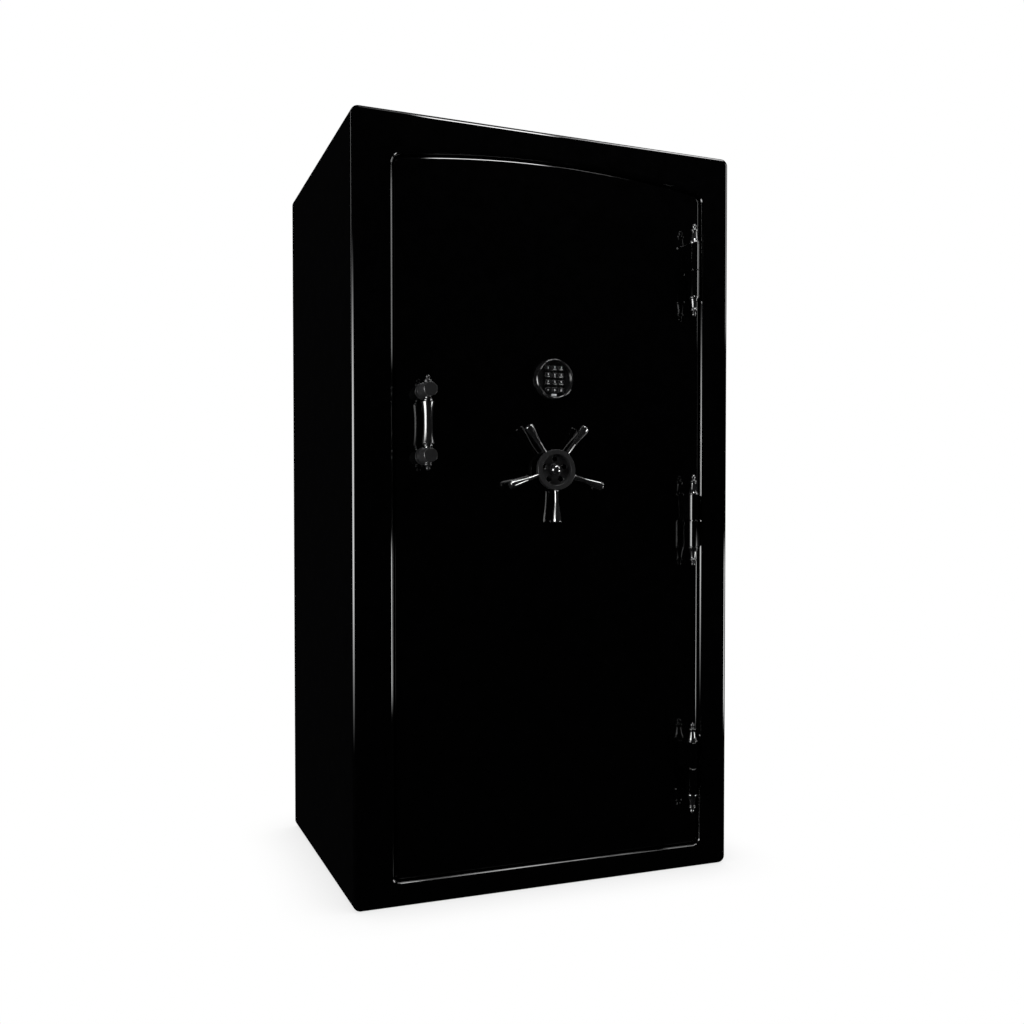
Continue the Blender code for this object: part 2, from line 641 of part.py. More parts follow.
spoke_profile = [(0.0, SPOKE_TIP), (0.0085, SPOKE_TIP), (0.0100, SPOKE_TIP - 0.0018),
                 (0.0098, SPOKE_TIP - 0.008), (0.0084, SPOKE_TIP - 0.020),
                 (0.0062, SPOKE_TIP - 0.034), (0.0049, SPOKE_TIP - 0.046),
                 (0.0046, SPOKE_TIP - 0.058), (0.0048, HUB_R + 0.0030),
                 (0.0052, HUB_R + 0.0009), (0.0, HUB_R + 0.0009)]
for k in range(5):
    a = math.radians(270 + 72 * k)
    spoke = turned("spoke_%d" % (k + 1), spoke_profile, pt(0, HUB_Y, HUB_Z),
                   (math.cos(SPOKE_LEAN) * math.cos(a), -math.sin(SPOKE_LEAN),
                    math.cos(SPOKE_LEAN) * math.sin(a)), 10, "chrome")
    hang(handle_pivot, spoke)

# ---------------------------------------------------------------- pull handle
post_z = PULL_PITCH / 2
front = 0.057                    # how far a post stands off the door
post_profile = [(0.0, front), (0.0085, front - 0.0006), (0.0128, front - 0.0030),
                (0.0150, front - 0.0070), (0.0150, 0.0090), (0.0140, 0.0070),
                (0.0140, 0.0050), (0.0185, 0.0035), (0.0185, GAP), (0.0, GAP)]
for label, sign in (("upper", 1), ("lower", -1)):
    z = PULL_Z + sign * post_z
    post = turned("pull_post_" + label, post_profile, pt(PULL_X, DOOR_Y, z), (0, -1, 0),
                  16, "chrome")
    tip = turned("add_pull_tip_" + label, [
        (0.0, 0.0318), (0.0030, 0.0308), (0.0050, 0.0280), (0.0046, 0.0255),
        (0.0034, 0.0240), (0.0062, 0.0220), (0.0082, 0.0190), (0.0074, 0.0160),
        (0.0090, 0.0100), (0.0, 0.0100)], pt(PULL_X, PULL_Y, z), (0, 0, sign), 12,
        cutter=True)
    boolean(post, tip, "UNION")
    hang(door_pivot, post)

hl = post_z - 0.0153             # half length of the grip between the posts
half_grip = [(0.0, hl), (0.0072, hl), (0.0072, hl - 0.0035), (0.0098, hl - 0.0050),
             (0.0098, hl - 0.0075), (0.0078, hl - 0.0090), (0.0128, hl - 0.0110),
             (0.0135, hl - 0.0140), (0.0130, hl - 0.0200), (0.0108, hl - 0.0340),
             (0.0098, 0.0)]
grip_profile = half_grip + [(r, -h) for r, h in reversed(half_grip[:-1])]
pull_grip = turned("pull_grip", grip_profile, pt(PULL_X, PULL_Y, PULL_Z), (0, 0, 1), 14,
                   "chrome")
hang(door_pivot, pull_grip)

# ---------------------------------------------------------------- keypad
field_h, field_r = 0.0270, 0.0385
keypad_housing = turned("keypad_housing", [
    (0.0, 0.0140), (0.0385, 0.0140), (0.0400, 0.0185), (0.0415, 0.0200), (0.0432, 0.0196),
    (0.0446, 0.0178), (0.0450, 0.0150), (0.0450, 0.0010), (0.0445, GAP), (0.0, GAP)],
    pt(0, DOOR_Y, KEYPAD_Z), (0, -1, 0), 30, "plastic")


def field(grow):
    r, h = field_r + grow, field_h + grow
    a = math.degrees(math.acos(h / r))
    return arc(0, 0, r, a, 180 - a, 10) + arc(0, 0, r, 180 + a, 360 - a, 10)


tool = plate("cut_field", [[(x, z + KEYPAD_Z) for x, z in field(0.0)]],
             DOOR_Y - 0.03, DOOR_Y - 0.0030, cutter=True, at=(0, KEYPAD_Z))
boolean(keypad_housing, tool)
boolean(keypad_housing, rod("cut_cable_keypad", pt(0.012, DOOR_Y, KEYPAD_Z - 0.012),
                            (0, 1, 0), 0.004, 0.02, 12, cutter=True))
hang(door_pivot, keypad_housing)

KEY_W, KEY_H = 0.0134, 0.0115
COLS = (-0.016, 0.0, 0.016)
ROWS = (0.0243, 0.0081, -0.0081, -0.0243)
NAMES = (("key_1", "key_2", "key_3"), ("key_4", "key_5", "key_6"),
         ("key_7", "key_8", "key_9"), ("key_star", "key_0", "key_hash"))
holes = [rect(cx - KEY_W / 2 - 0.0004, cx + KEY_W / 2 + 0.0004,
              cz - KEY_H / 2 - 0.0004, cz + KEY_H / 2 + 0.0004)
         for cz in ROWS for cx in COLS]
slot = (arc(-0.0042, -0.0348, 0.0027, 90, 270, 6) + arc(0.0042, -0.0348, 0.0027, 270, 450, 6))
keypad_face = plate("keypad_face",
                    [[(x, z + KEYPAD_Z) for x, z in lp]
                     for lp in [field(-0.0004)] + holes + [slot]],
                    DOOR_Y - 0.0125, DOOR_Y - 0.0095, "plastic", at=(0, KEYPAD_Z))
hang(door_pivot, keypad_face)
win = (arc(-0.0042, -0.0348, 0.0023, 90, 270, 6) + arc(0.0042, -0.0348, 0.0023, 270, 450, 6))
keypad_window = plate("keypad_window", [[(x, z + KEYPAD_Z) for x, z in win]],
                      DOOR_Y - 0.0135, DOOR_Y - 0.0095, "window", at=(0, KEYPAD_Z))
hang(door_pivot, keypad_window)
for cz, row in zip(ROWS, NAMES):
    for cx, label in zip(COLS, row):
        seat = pivot(label + "_slide", pt(cx, DOOR_Y - 0.012, KEYPAD_Z + cz))
        key = box(label, cx - KEY_W / 2, cx + KEY_W / 2, DOOR_Y - 0.0165, DOOR_Y - 0.0060,
                  KEYPAD_Z + cz - KEY_H / 2, KEYPAD_Z + cz + KEY_H / 2, "key")
        add_bevel(key, 0.0012, 1, 60)
        hang(seat, key)
        seat.parent = door_pivot
        seat.matrix_parent_inverse = Matrix.Translation(door_pivot.location).inverted()

for slide in (handle_pivot, lock_pivot, slide_left, slide_right, slide_top, slide_bottom):
    slide.parent = door_pivot
    slide.matrix_parent_inverse = Matrix.Translation(door_pivot.location).inverted()
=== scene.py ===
"""Looks of the gun safe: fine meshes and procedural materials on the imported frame.

Metres, +Z up, origin at the centre of the cabinet's underside, door on the -Y side.
"""
import json
import math

import bmesh
import bpy
from mathutils import Matrix, Vector

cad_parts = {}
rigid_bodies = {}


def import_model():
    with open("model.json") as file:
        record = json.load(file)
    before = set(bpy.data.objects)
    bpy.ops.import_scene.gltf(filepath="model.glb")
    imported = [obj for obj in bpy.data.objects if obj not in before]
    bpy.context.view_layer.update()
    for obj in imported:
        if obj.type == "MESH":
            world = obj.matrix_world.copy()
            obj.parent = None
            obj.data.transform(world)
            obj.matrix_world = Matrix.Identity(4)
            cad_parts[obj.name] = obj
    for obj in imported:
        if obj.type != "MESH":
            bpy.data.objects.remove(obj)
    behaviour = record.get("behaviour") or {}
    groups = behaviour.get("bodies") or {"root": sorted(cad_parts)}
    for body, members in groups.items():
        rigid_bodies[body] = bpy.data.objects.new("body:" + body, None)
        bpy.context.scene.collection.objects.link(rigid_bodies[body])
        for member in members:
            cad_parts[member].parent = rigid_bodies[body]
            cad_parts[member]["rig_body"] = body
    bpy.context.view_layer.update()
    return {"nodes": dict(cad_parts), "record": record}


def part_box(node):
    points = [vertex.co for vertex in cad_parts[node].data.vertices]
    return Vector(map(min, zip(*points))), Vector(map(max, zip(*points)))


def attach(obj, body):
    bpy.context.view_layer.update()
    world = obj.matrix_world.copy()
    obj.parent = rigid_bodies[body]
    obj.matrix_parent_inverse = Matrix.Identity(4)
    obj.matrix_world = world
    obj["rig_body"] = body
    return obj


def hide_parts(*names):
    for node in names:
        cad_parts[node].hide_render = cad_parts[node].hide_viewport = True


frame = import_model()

scene = bpy.context.scene
NODES = frame["nodes"]

# ------------------------------------------------------------------ dimensions
BODY_W, BODY_H, BODY_D = 0.914, 1.690, 0.698
Y0 = -BODY_D / 2
GAP = 0.0003
WRAP_R, SHELL_T, FRONT_R, FRAME_T, ROLL_R = 0.017, 0.0035, 0.009, 0.0045, 0.010
DOOR_CX, DOOR_XH = 0.0088, 0.3729
DOOR_Z0, DOOR_APEX, ARCH_R = 0.056, 1.623, 2.40
DOOR_CORNER, DOOR_FOOT = 0.018, 0.012
DOOR_GAP, DOOR_Y, DOOR_T = 0.003, 0.008, 0.008
STOP_Y, JAMB_Y = 0.030, 0.060
JAMB = (-0.347, 0.336, 0.081, 1.564)
FRAME_BOX = (-0.330, 0.321, 0.093, 1.552)
FRAME_Y1 = 0.112
HINGE_X, HINGE_Y = 0.3485, -0.024
HINGE_Z = (1.4112, 0.8278, 0.2442)
BARREL_R, BARREL_L, PIN_R, BORE_R = 0.011, 0.1225, 0.0070, 0.0074
HUB_Z, HUB_Y, HUB_R, SPOKE_TIP = 0.9405, -0.014, 0.045, 0.1185
SPOKE_LEAN = math.radians(3.4)
KEYPAD_Z = 1.143
PULL_X, PULL_Z, PULL_Y, PULL_PITCH = -0.3008, 1.0336, -0.028, 0.1387
TEETH, TRAVEL, TURN = 20, 0.030, math.radians(72.0)
PITCH_R = TRAVEL / TURN
TOOTH = 2 * math.pi * PITCH_R / TEETH
BOLT_R, BOLT_Y = 0.016, 0.080
LAYER_H, LAYER_V = (0.066, 0.074), (0.086, 0.094)
BOLTS_Z = (0.280, 0.615, 1.050, 1.385)
BOLTS_X = (-0.200, 0.200)
LOCK_Z = 1.0885


def pt(x, y, z):
    """A point given with y measured back from the front plane."""
    return Vector((x, Y0 + y, z))


# ------------------------------------------------------------------ materials
class Nodes:
    """A short way to write a node tree."""

    def __init__(self, name):
        self.mat = bpy.data.materials.new(name)
        self.mat.use_nodes = True
        self.tree = self.mat.node_tree
        self.bsdf = self.tree.nodes["Principled BSDF"]
        self.at = -300
        coords = self.tree.nodes.new("ShaderNodeTexCoord")
        self.object = coords.outputs["Object"]

    def add(self, kind, **sets):
        node = self.tree.nodes.new(kind)
        for key, value in sets.items():
            setattr(node, key, value)
        self.at -= 40
        node.location = (self.at, self.at / 2)
        return node

    def link(self, a, b):
        self.tree.links.new(a, b)

    def scaled(self, x, y, z, turn=(0, 0, 0)):
        node = self.add("ShaderNodeMapping")
        node.inputs["Scale"].default_value = (x, y, z)
        node.inputs["Rotation"].default_value = turn
        self.link(self.object, node.inputs["Vector"])
        return node.outputs["Vector"]

    def noise(self, scale, detail=4.0, rough=0.55, vector=None, distort=0.0):
        node = self.add("ShaderNodeTexNoise")
        node.inputs["Scale"].default_value = scale
        node.inputs["Detail"].default_value = detail
        node.inputs["Roughness"].default_value = rough
        node.inputs["Distortion"].default_value = distort
        self.link(vector or self.object, node.inputs["Vector"])
        return node.outputs["Fac"]

    def cells(self, scale, feature="F1", vector=None, rand=1.0):
        node = self.add("ShaderNodeTexVoronoi", feature=feature)
        node.inputs["Scale"].default_value = scale
        node.inputs["Randomness"].default_value = rand
        self.link(vector or self.object, node.inputs["Vector"])
        return node.outputs["Distance"]

    def ramp(self, fac, stops):
        node = self.add("ShaderNodeValToRGB")
        ramp = node.color_ramp
        while len(ramp.elements) < len(stops):
            ramp.elements.new(0.5)
        for element, (place, colour) in zip(ramp.elements, stops):
            element.position = place
            element.color = (*colour, 1.0) if hasattr(colour, "__len__") else (colour,) * 3 + (1.0,)
        self.link(fac, node.inputs["Fac"])
        return node.outputs["Color"]

    def range(self, fac, lo, hi, a=0.3, b=0.7):
        node = self.add("ShaderNodeMapRange")
        node.inputs["From Min"].default_value = a
        node.inputs["From Max"].default_value = b
        node.inputs["To Min"].default_value = lo
        node.inputs["To Max"].default_value = hi
        self.link(fac, node.inputs["Value"])
        return node.outputs["Result"]

    def math(self, op, a, b):
        node = self.add("ShaderNodeMath", operation=op)
        for socket, value in zip(node.inputs, (a, b)):
            if isinstance(value, (int, float)):
                socket.default_value = value
            else:
                self.link(value, socket)
        return node.outputs["Value"]

    def mix(self, fac, a, b, mode="MIX"):
        node = self.add("ShaderNodeMix", data_type="RGBA", blend_type=mode)
        for name, value in (("Factor", fac), ("A", a), ("B", b)):
            socket = [s for s in node.inputs if s.name == name and s.enabled][0]
            if isinstance(value, (int, float)):
                socket.default_value = value
            elif isinstance(value, tuple):
                socket.default_value = (*value, 1.0)
            else:
                self.link(value, socket)
        return [s for s in node.outputs if s.enabled][0]

    def bump(self, height, distance, strength=1.0, normal=None):
        node = self.add("ShaderNodeBump")
        node.inputs["Strength"].default_value = strength
        node.inputs["Distance"].default_value = distance
        self.link(height, node.inputs["Height"])
        if normal:
            self.link(normal, node.inputs["Normal"])
        return node.outputs["Normal"]

    def set(self, **values):
        names = {"color": "Base Color", "metal": "Metallic", "rough": "Roughness",
                 "ior": "IOR", "coat": "Coat Weight", "coat_rough": "Coat Roughness",
                 "coat_ior": "Coat IOR", "sheen": "Sheen Weight",
                 "sheen_rough": "Sheen Roughness", "sheen_tint": "Sheen Tint",
                 "normal": "Normal", "coat_normal": "Coat Normal",
                 "specular": "Specular IOR Level", "aniso": "Anisotropic",
                 "emit": "Emission Strength", "emit_color": "Emission Color"}
        for key, value in values.items():
            socket = self.bsdf.inputs[names[key]]
            if isinstance(value, (int, float)):
                socket.default_value = value
            elif isinstance(value, tuple):
                socket.default_value = (*value, 1.0)
            else:
                self.link(value, socket)
        return self.mat


def enamel():
    """Deep gloss black enamel: a hard clear skin with a little orange peel."""
    n = Nodes("black_gloss_enamel")
    tone = n.ramp(n.noise(34.0, 5.0, 0.6), [(0.30, (0.0003, 0.0003, 0.0003)),
                                             (0.72, (0.0008, 0.0008, 0.0009))])
    speck = n.ramp(n.cells(900.0), [(0.0, (0.0016, 0.0016, 0.0017)), (0.10, (0.0, 0.0, 0.0))])
    colour = n.mix(1.0, tone, speck, "ADD")
    peel = n.noise(260.0, 2.0, 0.45)
    wave = n.noise(9.0, 1.0, 0.4)
    bumpy = n.bump(peel, 0.0000030, 1.0, n.bump(wave, 0.00004, 1.0))
    rough = n.range(n.noise(15.0, 4.0, 0.6), 0.035, 0.070)
    return n.set(color=colour, rough=rough, normal=bumpy, coat=0.55, coat_rough=0.02,
                 coat_normal=bumpy, ior=1.50)


def chrome(name="black_chrome", tone=0.012, low=0.110, high=0.160, ior=2.25):
    """Dark polished plating: black beneath a hard, bright skin."""
    n = Nodes(name)
    cloud = n.noise(90.0, 4.0, 0.6)
    colour = n.ramp(cloud, [(0.30, (tone * 0.82, tone * 0.83, tone * 0.86)),
                            (0.70, (tone * 1.12, tone * 1.12, tone * 1.15))])
    buff = n.noise(1.0, 3.0, 0.5, n.scaled(500.0, 500.0, 4200.0, (0.3, 0.2, 0.0)))
    rough = n.range(n.math("ADD", n.math("MULTIPLY", cloud, 0.6), n.math("MULTIPLY", buff, 0.4)),
                    low, high)
    ripple = n.bump(n.noise(160.0, 2.0, 0.5), 0.0000012, 1.0,
                    n.bump(buff, 0.00000015, 1.0))
    return n.set(color=colour, rough=rough, ior=ior, normal=ripple)


def casting():
    """Satin dark plating on the cast hub and the pull's posts."""
    n = Nodes("satin_dark_casting")
    cloud = n.noise(70.0, 4.0, 0.6)
    colour = n.ramp(cloud, [(0.30, (0.030, 0.030, 0.031)), (0.70, (0.040, 0.040, 0.041))])
    grain = n.noise(2400.0, 3.0, 0.6)
    return n.set(color=colour, metal=0.35, rough=n.range(grain, 0.26, 0.34), ior=1.7,
                 normal=n.bump(grain, 0.0000012, 1.0))


def brushed(name, tone, low, high, grain=(900.0, 60.0, 900.0)):
    """Bright zinc-plated steel, drawn along its length."""
    n = Nodes(name)
    lines = n.noise(1.0, 5.0, 0.6, n.scaled(*grain))
    spangle = n.cells(120.0)
    colour = n.mix(n.range(spangle, 0.0, 0.35, 0.0, 0.8),
                   n.ramp(lines, [(0.30, tuple(c * 0.82 for c in tone)), (0.70, tone)]),
                   tuple(c * 0.80 + 0.05 for c in tone))
    rough = n.range(lines, low, high)
    return n.set(color=colour, metal=1.0, rough=rough, normal=n.bump(lines, 0.000012, 1.0))


def satin_black():
    """Textured satin black powder coat on the door's inner framework."""
    n = Nodes("satin_black_powder")
    grit = n.noise(1500.0, 3.0, 0.6)
    patch = n.noise(22.0, 4.0, 0.6)
    colour = n.ramp(patch, [(0.3, (0.018, 0.018, 0.019)), (0.7, (0.032, 0.032, 0.034))])
    return n.set(color=colour, rough=n.range(grit, 0.38, 0.56), ior=1.5,
                 normal=n.bump(grit, 0.00006, 1.0))


def carpet(name="grey_carpet", dark=(0.045, 0.044, 0.045), light=(0.150, 0.148, 0.150)):
    """Short-pile lining carpet glued to board."""
    n = Nodes(name)
    tufts = n.cells(850.0)
    fibre = n.noise(2600.0, 3.0, 0.7)
    cloud = n.noise(16.0, 5.0, 0.65)
    pile = n.math("ADD", n.math("MULTIPLY", tufts, 0.75), n.math("MULTIPLY", fibre, 0.45))
    base = n.ramp(pile, [(0.18, dark), (0.75, light)])
    colour = n.mix(n.range(cloud, 0.15, 0.55), base, tuple(c * 0.72 for c in light), "MULTIPLY")
    colour = n.mix(0.55, base, colour)
    return n.set(color=colour, rough=n.range(fibre, 0.88, 1.0), specular=0.15,
                 sheen=0.35, sheen_rough=0.45, sheen_tint=(0.55, 0.55, 0.57),
                 normal=n.bump(pile, 0.0011, 0.9, n.bump(cloud, 0.0016, 0.5)))


def gypsum():
    """Paper-faced gypsum fireboard."""
    n = Nodes("gypsum_fireboard")
    fibre = n.noise(1.0, 5.0, 0.7, n.scaled(420.0, 420.0, 90.0))
    blot = n.noise(14.0, 4.0, 0.6)
    colour = n.mix(0.5, n.ramp(fibre, [(0.3, (0.46, 0.44, 0.40)), (0.7, (0.66, 0.64, 0.60))]),
                   n.ramp(blot, [(0.3, (0.50, 0.48, 0.44)), (0.7, (0.66, 0.65, 0.61))]))
    return n.set(color=colour, rough=n.range(fibre, 0.80, 0.95), specular=0.25,
                 normal=n.bump(fibre, 0.00012, 0.8))


def seal_felt():
    """Expanding fire seal with a woven skin and a rubber lip."""
    n = Nodes("fire_seal")
    wave = n.noise(1.0, 3.0, 0.6, n.scaled(700.0, 700.0, 260.0))
    colour = n.ramp(wave, [(0.3, (0.010, 0.010, 0.010)), (0.7, (0.030, 0.029, 0.028))])
    return n.set(color=colour, rough=n.range(wave, 0.62, 0.82), specular=0.3,
                 normal=n.bump(wave, 0.00022, 0.9))


def moulded(name, low, high, rough=(0.22, 0.34), coat=0.0, depth=0.00003):
    """Fine-grained moulded plastic."""
    n = Nodes(name)
    grain = n.noise(1800.0, 3.0, 0.6)
    cloud = n.noise(60.0, 3.0, 0.5)
    colour = n.ramp(cloud, [(0.3, low), (0.7, high)])
    return n.set(color=colour, rough=n.range(grain, *rough), ior=1.5, coat=coat,
                 coat_rough=0.06, normal=n.bump(grain, depth, 0.8))


def rubber():
    """Silicone key rubber, matt with a slight sheen on its crown."""
    n = Nodes("key_rubber")
    grain = n.noise(2200.0, 3.0, 0.6)
    wear = n.noise(140.0, 3.0, 0.5)
    colour = n.ramp(wear, [(0.3, (0.0050, 0.0050, 0.0053)), (0.7, (0.0090, 0.0090, 0.0095))])
    return n.set(color=colour, rough=n.range(grain, 0.20, 0.30), ior=1.55,
                 normal=n.bump(grain, 0.00002, 0.7))


def cast_alloy():
    """Die-cast zinc of the lock's case."""
    n = Nodes("cast_zinc")
    sand = n.noise(800.0, 4.0, 0.6)
    flow = n.noise(30.0, 4.0, 0.6, distort=1.2)
    colour = n.ramp(flow, [(0.3, (0.34, 0.33, 0.31)), (0.7, (0.50, 0.49, 0.46))])
    return n.set(color=colour, metal=1.0, rough=n.range(sand, 0.32, 0.52),
                 normal=n.bump(sand, 0.00004, 1.0))


def lens_with_painted_glow():
    """Milky indicator lens with a clear skin and a faint painted white glow."""
    n = Nodes("indicator_lens")
    swirl = n.noise(700.0, 3.0, 0.5)
    colour = n.ramp(swirl, [(0.3, (0.70, 0.71, 0.72)), (0.7, (0.90, 0.90, 0.91))])
    # painted glow: the lens emits a faint white light of its own
    return n.set(color=colour, rough=n.range(swirl, 0.12, 0.22), coat=0.8, coat_rough=0.03,
                 normal=n.bump(swirl, 0.00001, 0.6), emit=0.22, emit_color=(0.9, 0.92, 0.95))


def ink():
    """Printed key marks."""
    n = Nodes("key_ink")
    spread = n.noise(1200.0, 3.0, 0.6)
    colour = n.ramp(spread, [(0.3, (0.74, 0.74, 0.75)), (0.7, (0.90, 0.90, 0.91))])
    return n.set(color=colour, rough=n.range(spread, 0.40, 0.55),
                 normal=n.bump(spread, 0.000008, 0.6))


M = {
    "paint": enamel(),
    "chrome": chrome(),
    # painted highlight: the spokes and hub cap use a brighter copy of the black chrome (lighter tone,
    # higher reflectance) that stands in for the extra light they catch
    "spoke": chrome("black_chrome_lit_copy", 0.016, 0.120, 0.170, 3.2),
    "casting": casting(),
    "steel": brushed("zinc_plated_steel", (0.56, 0.57, 0.58), 0.22, 0.40),
    "bolt": brushed("drawn_bolt_steel", (0.62, 0.62, 0.63), 0.14, 0.30, (60.0, 700.0, 700.0)),
    "dark_steel": satin_black(),
    "board": gypsum(),
    "carpet": carpet(),
    "seal": seal_felt(),
    "housing": chrome("keypad_black_nickel", 0.010, 0.070, 0.120, 1.95),
    "keypad_face": moulded("keypad_face_plastic", (0.0018, 0.0018, 0.0019), (0.0036, 0.0036, 0.0038)),
    "keys": rubber(),
    "window": lens_with_painted_glow(),
    "lock": cast_alloy(),
    "ink": ink(),
}


# ------------------------------------------------------------------ mesh helpers
temp = []


def orient(me):
    bm = bmesh.new()
    bm.from_mesh(me)
    bmesh.ops.remove_doubles(bm, verts=bm.verts, dist=1e-7)
    bmesh.ops.recalc_face_normals(bm, faces=bm.faces)
    if bm.calc_volume(signed=True) < 0:
        bmesh.ops.reverse_faces(bm, faces=bm.faces)
    bm.to_mesh(me)
    bm.free()
    return me


def obj_of(name, verts, faces, fix=True):
    me = bpy.data.meshes.new(name)
    me.from_pydata([tuple(v) for v in verts], [], faces)
    if fix:
        orient(me)
    ob = bpy.data.objects.new(name, me)
    scene.collection.objects.link(ob)
    return ob


def loft(name, rings, closed=False, caps=True, fix=True):
    n, m = len(rings[0]), len(rings)
    verts = [v for ring in rings for v in ring]
    faces = []
    for k in range(m if closed else m - 1):
        a, b = k * n, ((k + 1) % m) * n
        for i in range(n):
            j = (i + 1) % n
            faces.append((a + i, a + j, b + j, b + i))
    if caps and not closed:
        faces.append(tuple(reversed(range(n))))
        faces.append(tuple((m - 1) * n + i for i in range(n)))
    return obj_of(name, verts, faces, fix)


def lathe(name, profile, centre, direction=(0, 0, 1), segs=96, closed=False, turn=0.0):
    q = Vector((0, 0, 1)).rotation_difference(Vector(direction))
    verts, faces, index = [], [], []
    for r, h in profile:
        if r < 1e-7:
            index.append([len(verts)])
            verts.append(centre + q @ Vector((0, 0, h)))
        else:
            index.append(list(range(len(verts), len(verts) + segs)))
            for i in range(segs):
                a = turn + 2 * math.pi * i / segs
                verts.append(centre + q @ Vector((r * math.cos(a), r * math.sin(a), h)))
    pairs = list(zip(index, index[1:])) + ([(index[-1], index[0])] if closed else [])
    for a, b in pairs:
        if len(a) == 1 and len(b) == 1:
            continue
        for i in range(segs):
            j = (i + 1) % segs
            if len(a) == 1:
                faces.append((a[0], b[j], b[i]))
            elif len(b) == 1:
                faces.append((a[i], a[j], b[0]))
            else:
                faces.append((a[i], a[j], b[j], b[i]))
    return obj_of(name, verts, faces)


def fillet(profile, radius, n=4, closed=False):
    """Rounds the corners of an outline of (r, h) pairs."""
    pts = [Vector(p) for p in profile]
    count = len(pts)
    out = [] if closed else [tuple(pts[0])]
    for i in (range(count) if closed else range(1, count - 1)):
        a, b, c = pts[i - 1], pts[i], pts[(i + 1) % count]
        u, v = a - b, c - b
        la, lc = u.length, v.length
        ang = u.angle(v)
        if ang > math.radians(176) or min(la, lc) < 2e-5:
            out.append(tuple(b))
            continue
        d = min(radius / math.tan(ang / 2), 0.48 * la, 0.48 * lc)
        p0, p1 = b + u / la * d, b + v / lc * d
        for k in range(n + 1):
            t = k / n
            out.append(tuple(p0 * (1 - t) ** 2 + b * 2 * t * (1 - t) + p1 * t * t))
    if not closed:
        out.append(tuple(pts[-1]))
    return out


def arc(cx, cy, r, a0, a1, n):
    return [(cx + r * math.cos(math.radians(a0 + (a1 - a0) * i / n)),
             cy + r * math.sin(math.radians(a0 + (a1 - a0) * i / n))) for i in range(n + 1)]


CN, TN = 12, 59


def round_rect(x0, x1, z0, z1, r, cn=CN, tn=TN):
    pts = arc(x0 + r, z0 + r, r, 180, 270, cn) + arc(x1 - r, z0 + r, r, 270, 360, cn)
    pts += arc(x1 - r, z1 - r, r, 0, 90, cn)
    a, b = x1 - r, x0 + r
    pts += [(a + (b - a) * (i + 1) / (tn + 1), z1) for i in range(tn)]
    return pts + arc(x0 + r, z1 - r, r, 90, 180, cn)


def arched(offset):
    """The door's arched outline, grown by an offset."""
    xh, z0, big = DOOR_XH + offset, DOOR_Z0 - offset, ARCH_R + offset
    zc = DOOR_APEX + offset - big
    r, rb = DOOR_CORNER + offset, DOOR_FOOT + offset
    fx = xh - r
    fz = zc + math.sqrt((big - r) ** 2 - fx ** 2)
    lean = math.degrees(math.atan2(fz - zc, fx))
    pts = arc(-xh + rb, z0 + rb, rb, 180, 270, CN) + arc(xh - rb, z0 + rb, rb, 270, 360, CN)
    pts += arc(fx, fz, r, 0, lean, CN)
    pts += arc(0, zc, big, lean, 180 - lean, TN + 1)[1:-1]
    pts += arc(-fx, fz, r, 180 - lean, 180, CN)
    return [(DOOR_CX + x, z) for x, z in pts]


def body_outline(inset):
    return round_rect(-BODY_W / 2 + inset, BODY_W / 2 - inset, inset,
                      BODY_H - inset, WRAP_R - inset)


def ring_y(points, y):
    return [pt(x, y, z) for x, z in points]


def rod(centre, direction, radius, length, sides=48):
    """A plain round tool for a boolean."""
    h = length / 2
    ob = lathe("tool", [(0, h), (radius, h), (radius, -h), (0, -h)], Vector(centre),
               direction, sides)
    temp.append(ob)
    return ob


def block(x0, x1, y0, y1, z0, z1):
    """A plain block tool for a boolean."""
    ob = loft("tool", [[pt(x, y, z) for x, z in ((x0, z0), (x1, z0), (x1, z1), (x0, z1))]
                       for y in (y0, y1)])
    temp.append(ob)
    return ob


def prism(loop, y0, y1):
    ob = loft("tool", [ring_y(loop, y0), ring_y(loop, y1)])
    temp.append(ob)
    return ob


def cut(ob, *tools, op="DIFFERENCE"):
    for tool in tools:
        mod = ob.modifiers.new("bool", "BOOLEAN")
        mod.operation = op
        mod.solver = "EXACT"
        mod.object = tool
    return ob


def join(ob, *tools):
    return cut(ob, *tools, op="UNION")


def bevel(ob, width, segments=3, angle=40.0):
    mod = ob.modifiers.new("edge", "BEVEL")
    mod.width = width
    mod.segments = segments
    mod.limit_method = "ANGLE"
    mod.angle_limit = math.radians(angle)
    mod.use_clamp_overlap = True
    mod.harden_normals = False
    return ob


def settle(ob):
    """Makes the modifiers' result the object's own mesh."""
    bpy.context.view_layer.update()
    deps = bpy.context.evaluated_depsgraph_get()
    me = bpy.data.meshes.new_from_object(ob.evaluated_get(deps), depsgraph=deps)
    ob.modifiers.clear()
    ob.data = me
    return ob


def done(ob, look, body, replaces=(), angle=35.0, weigh=True):
    """Shades, paints and hangs a piece on its body."""
    if ob.modifiers:
        settle(ob)
    me = ob.data
    me.materials.clear()
    me.materials.append(M[look])
    me.shade_smooth()
    me.set_sharp_from_angle(angle=math.radians(angle))
    if weigh:
        mod = ob.modifiers.new("weight", "WEIGHTED_NORMAL")
        mod.mode = "FACE_AREA"
        mod.weight = 60
        mod.keep_sharp = True
        settle(ob)
    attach(ob, body)
    if replaces:
        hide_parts(*replaces)
    return ob


def clear_tools():
    for ob in temp:
        me = ob.data
        bpy.data.objects.remove(ob, do_unlink=True)
        bpy.data.meshes.remove(me)
    temp.clear()


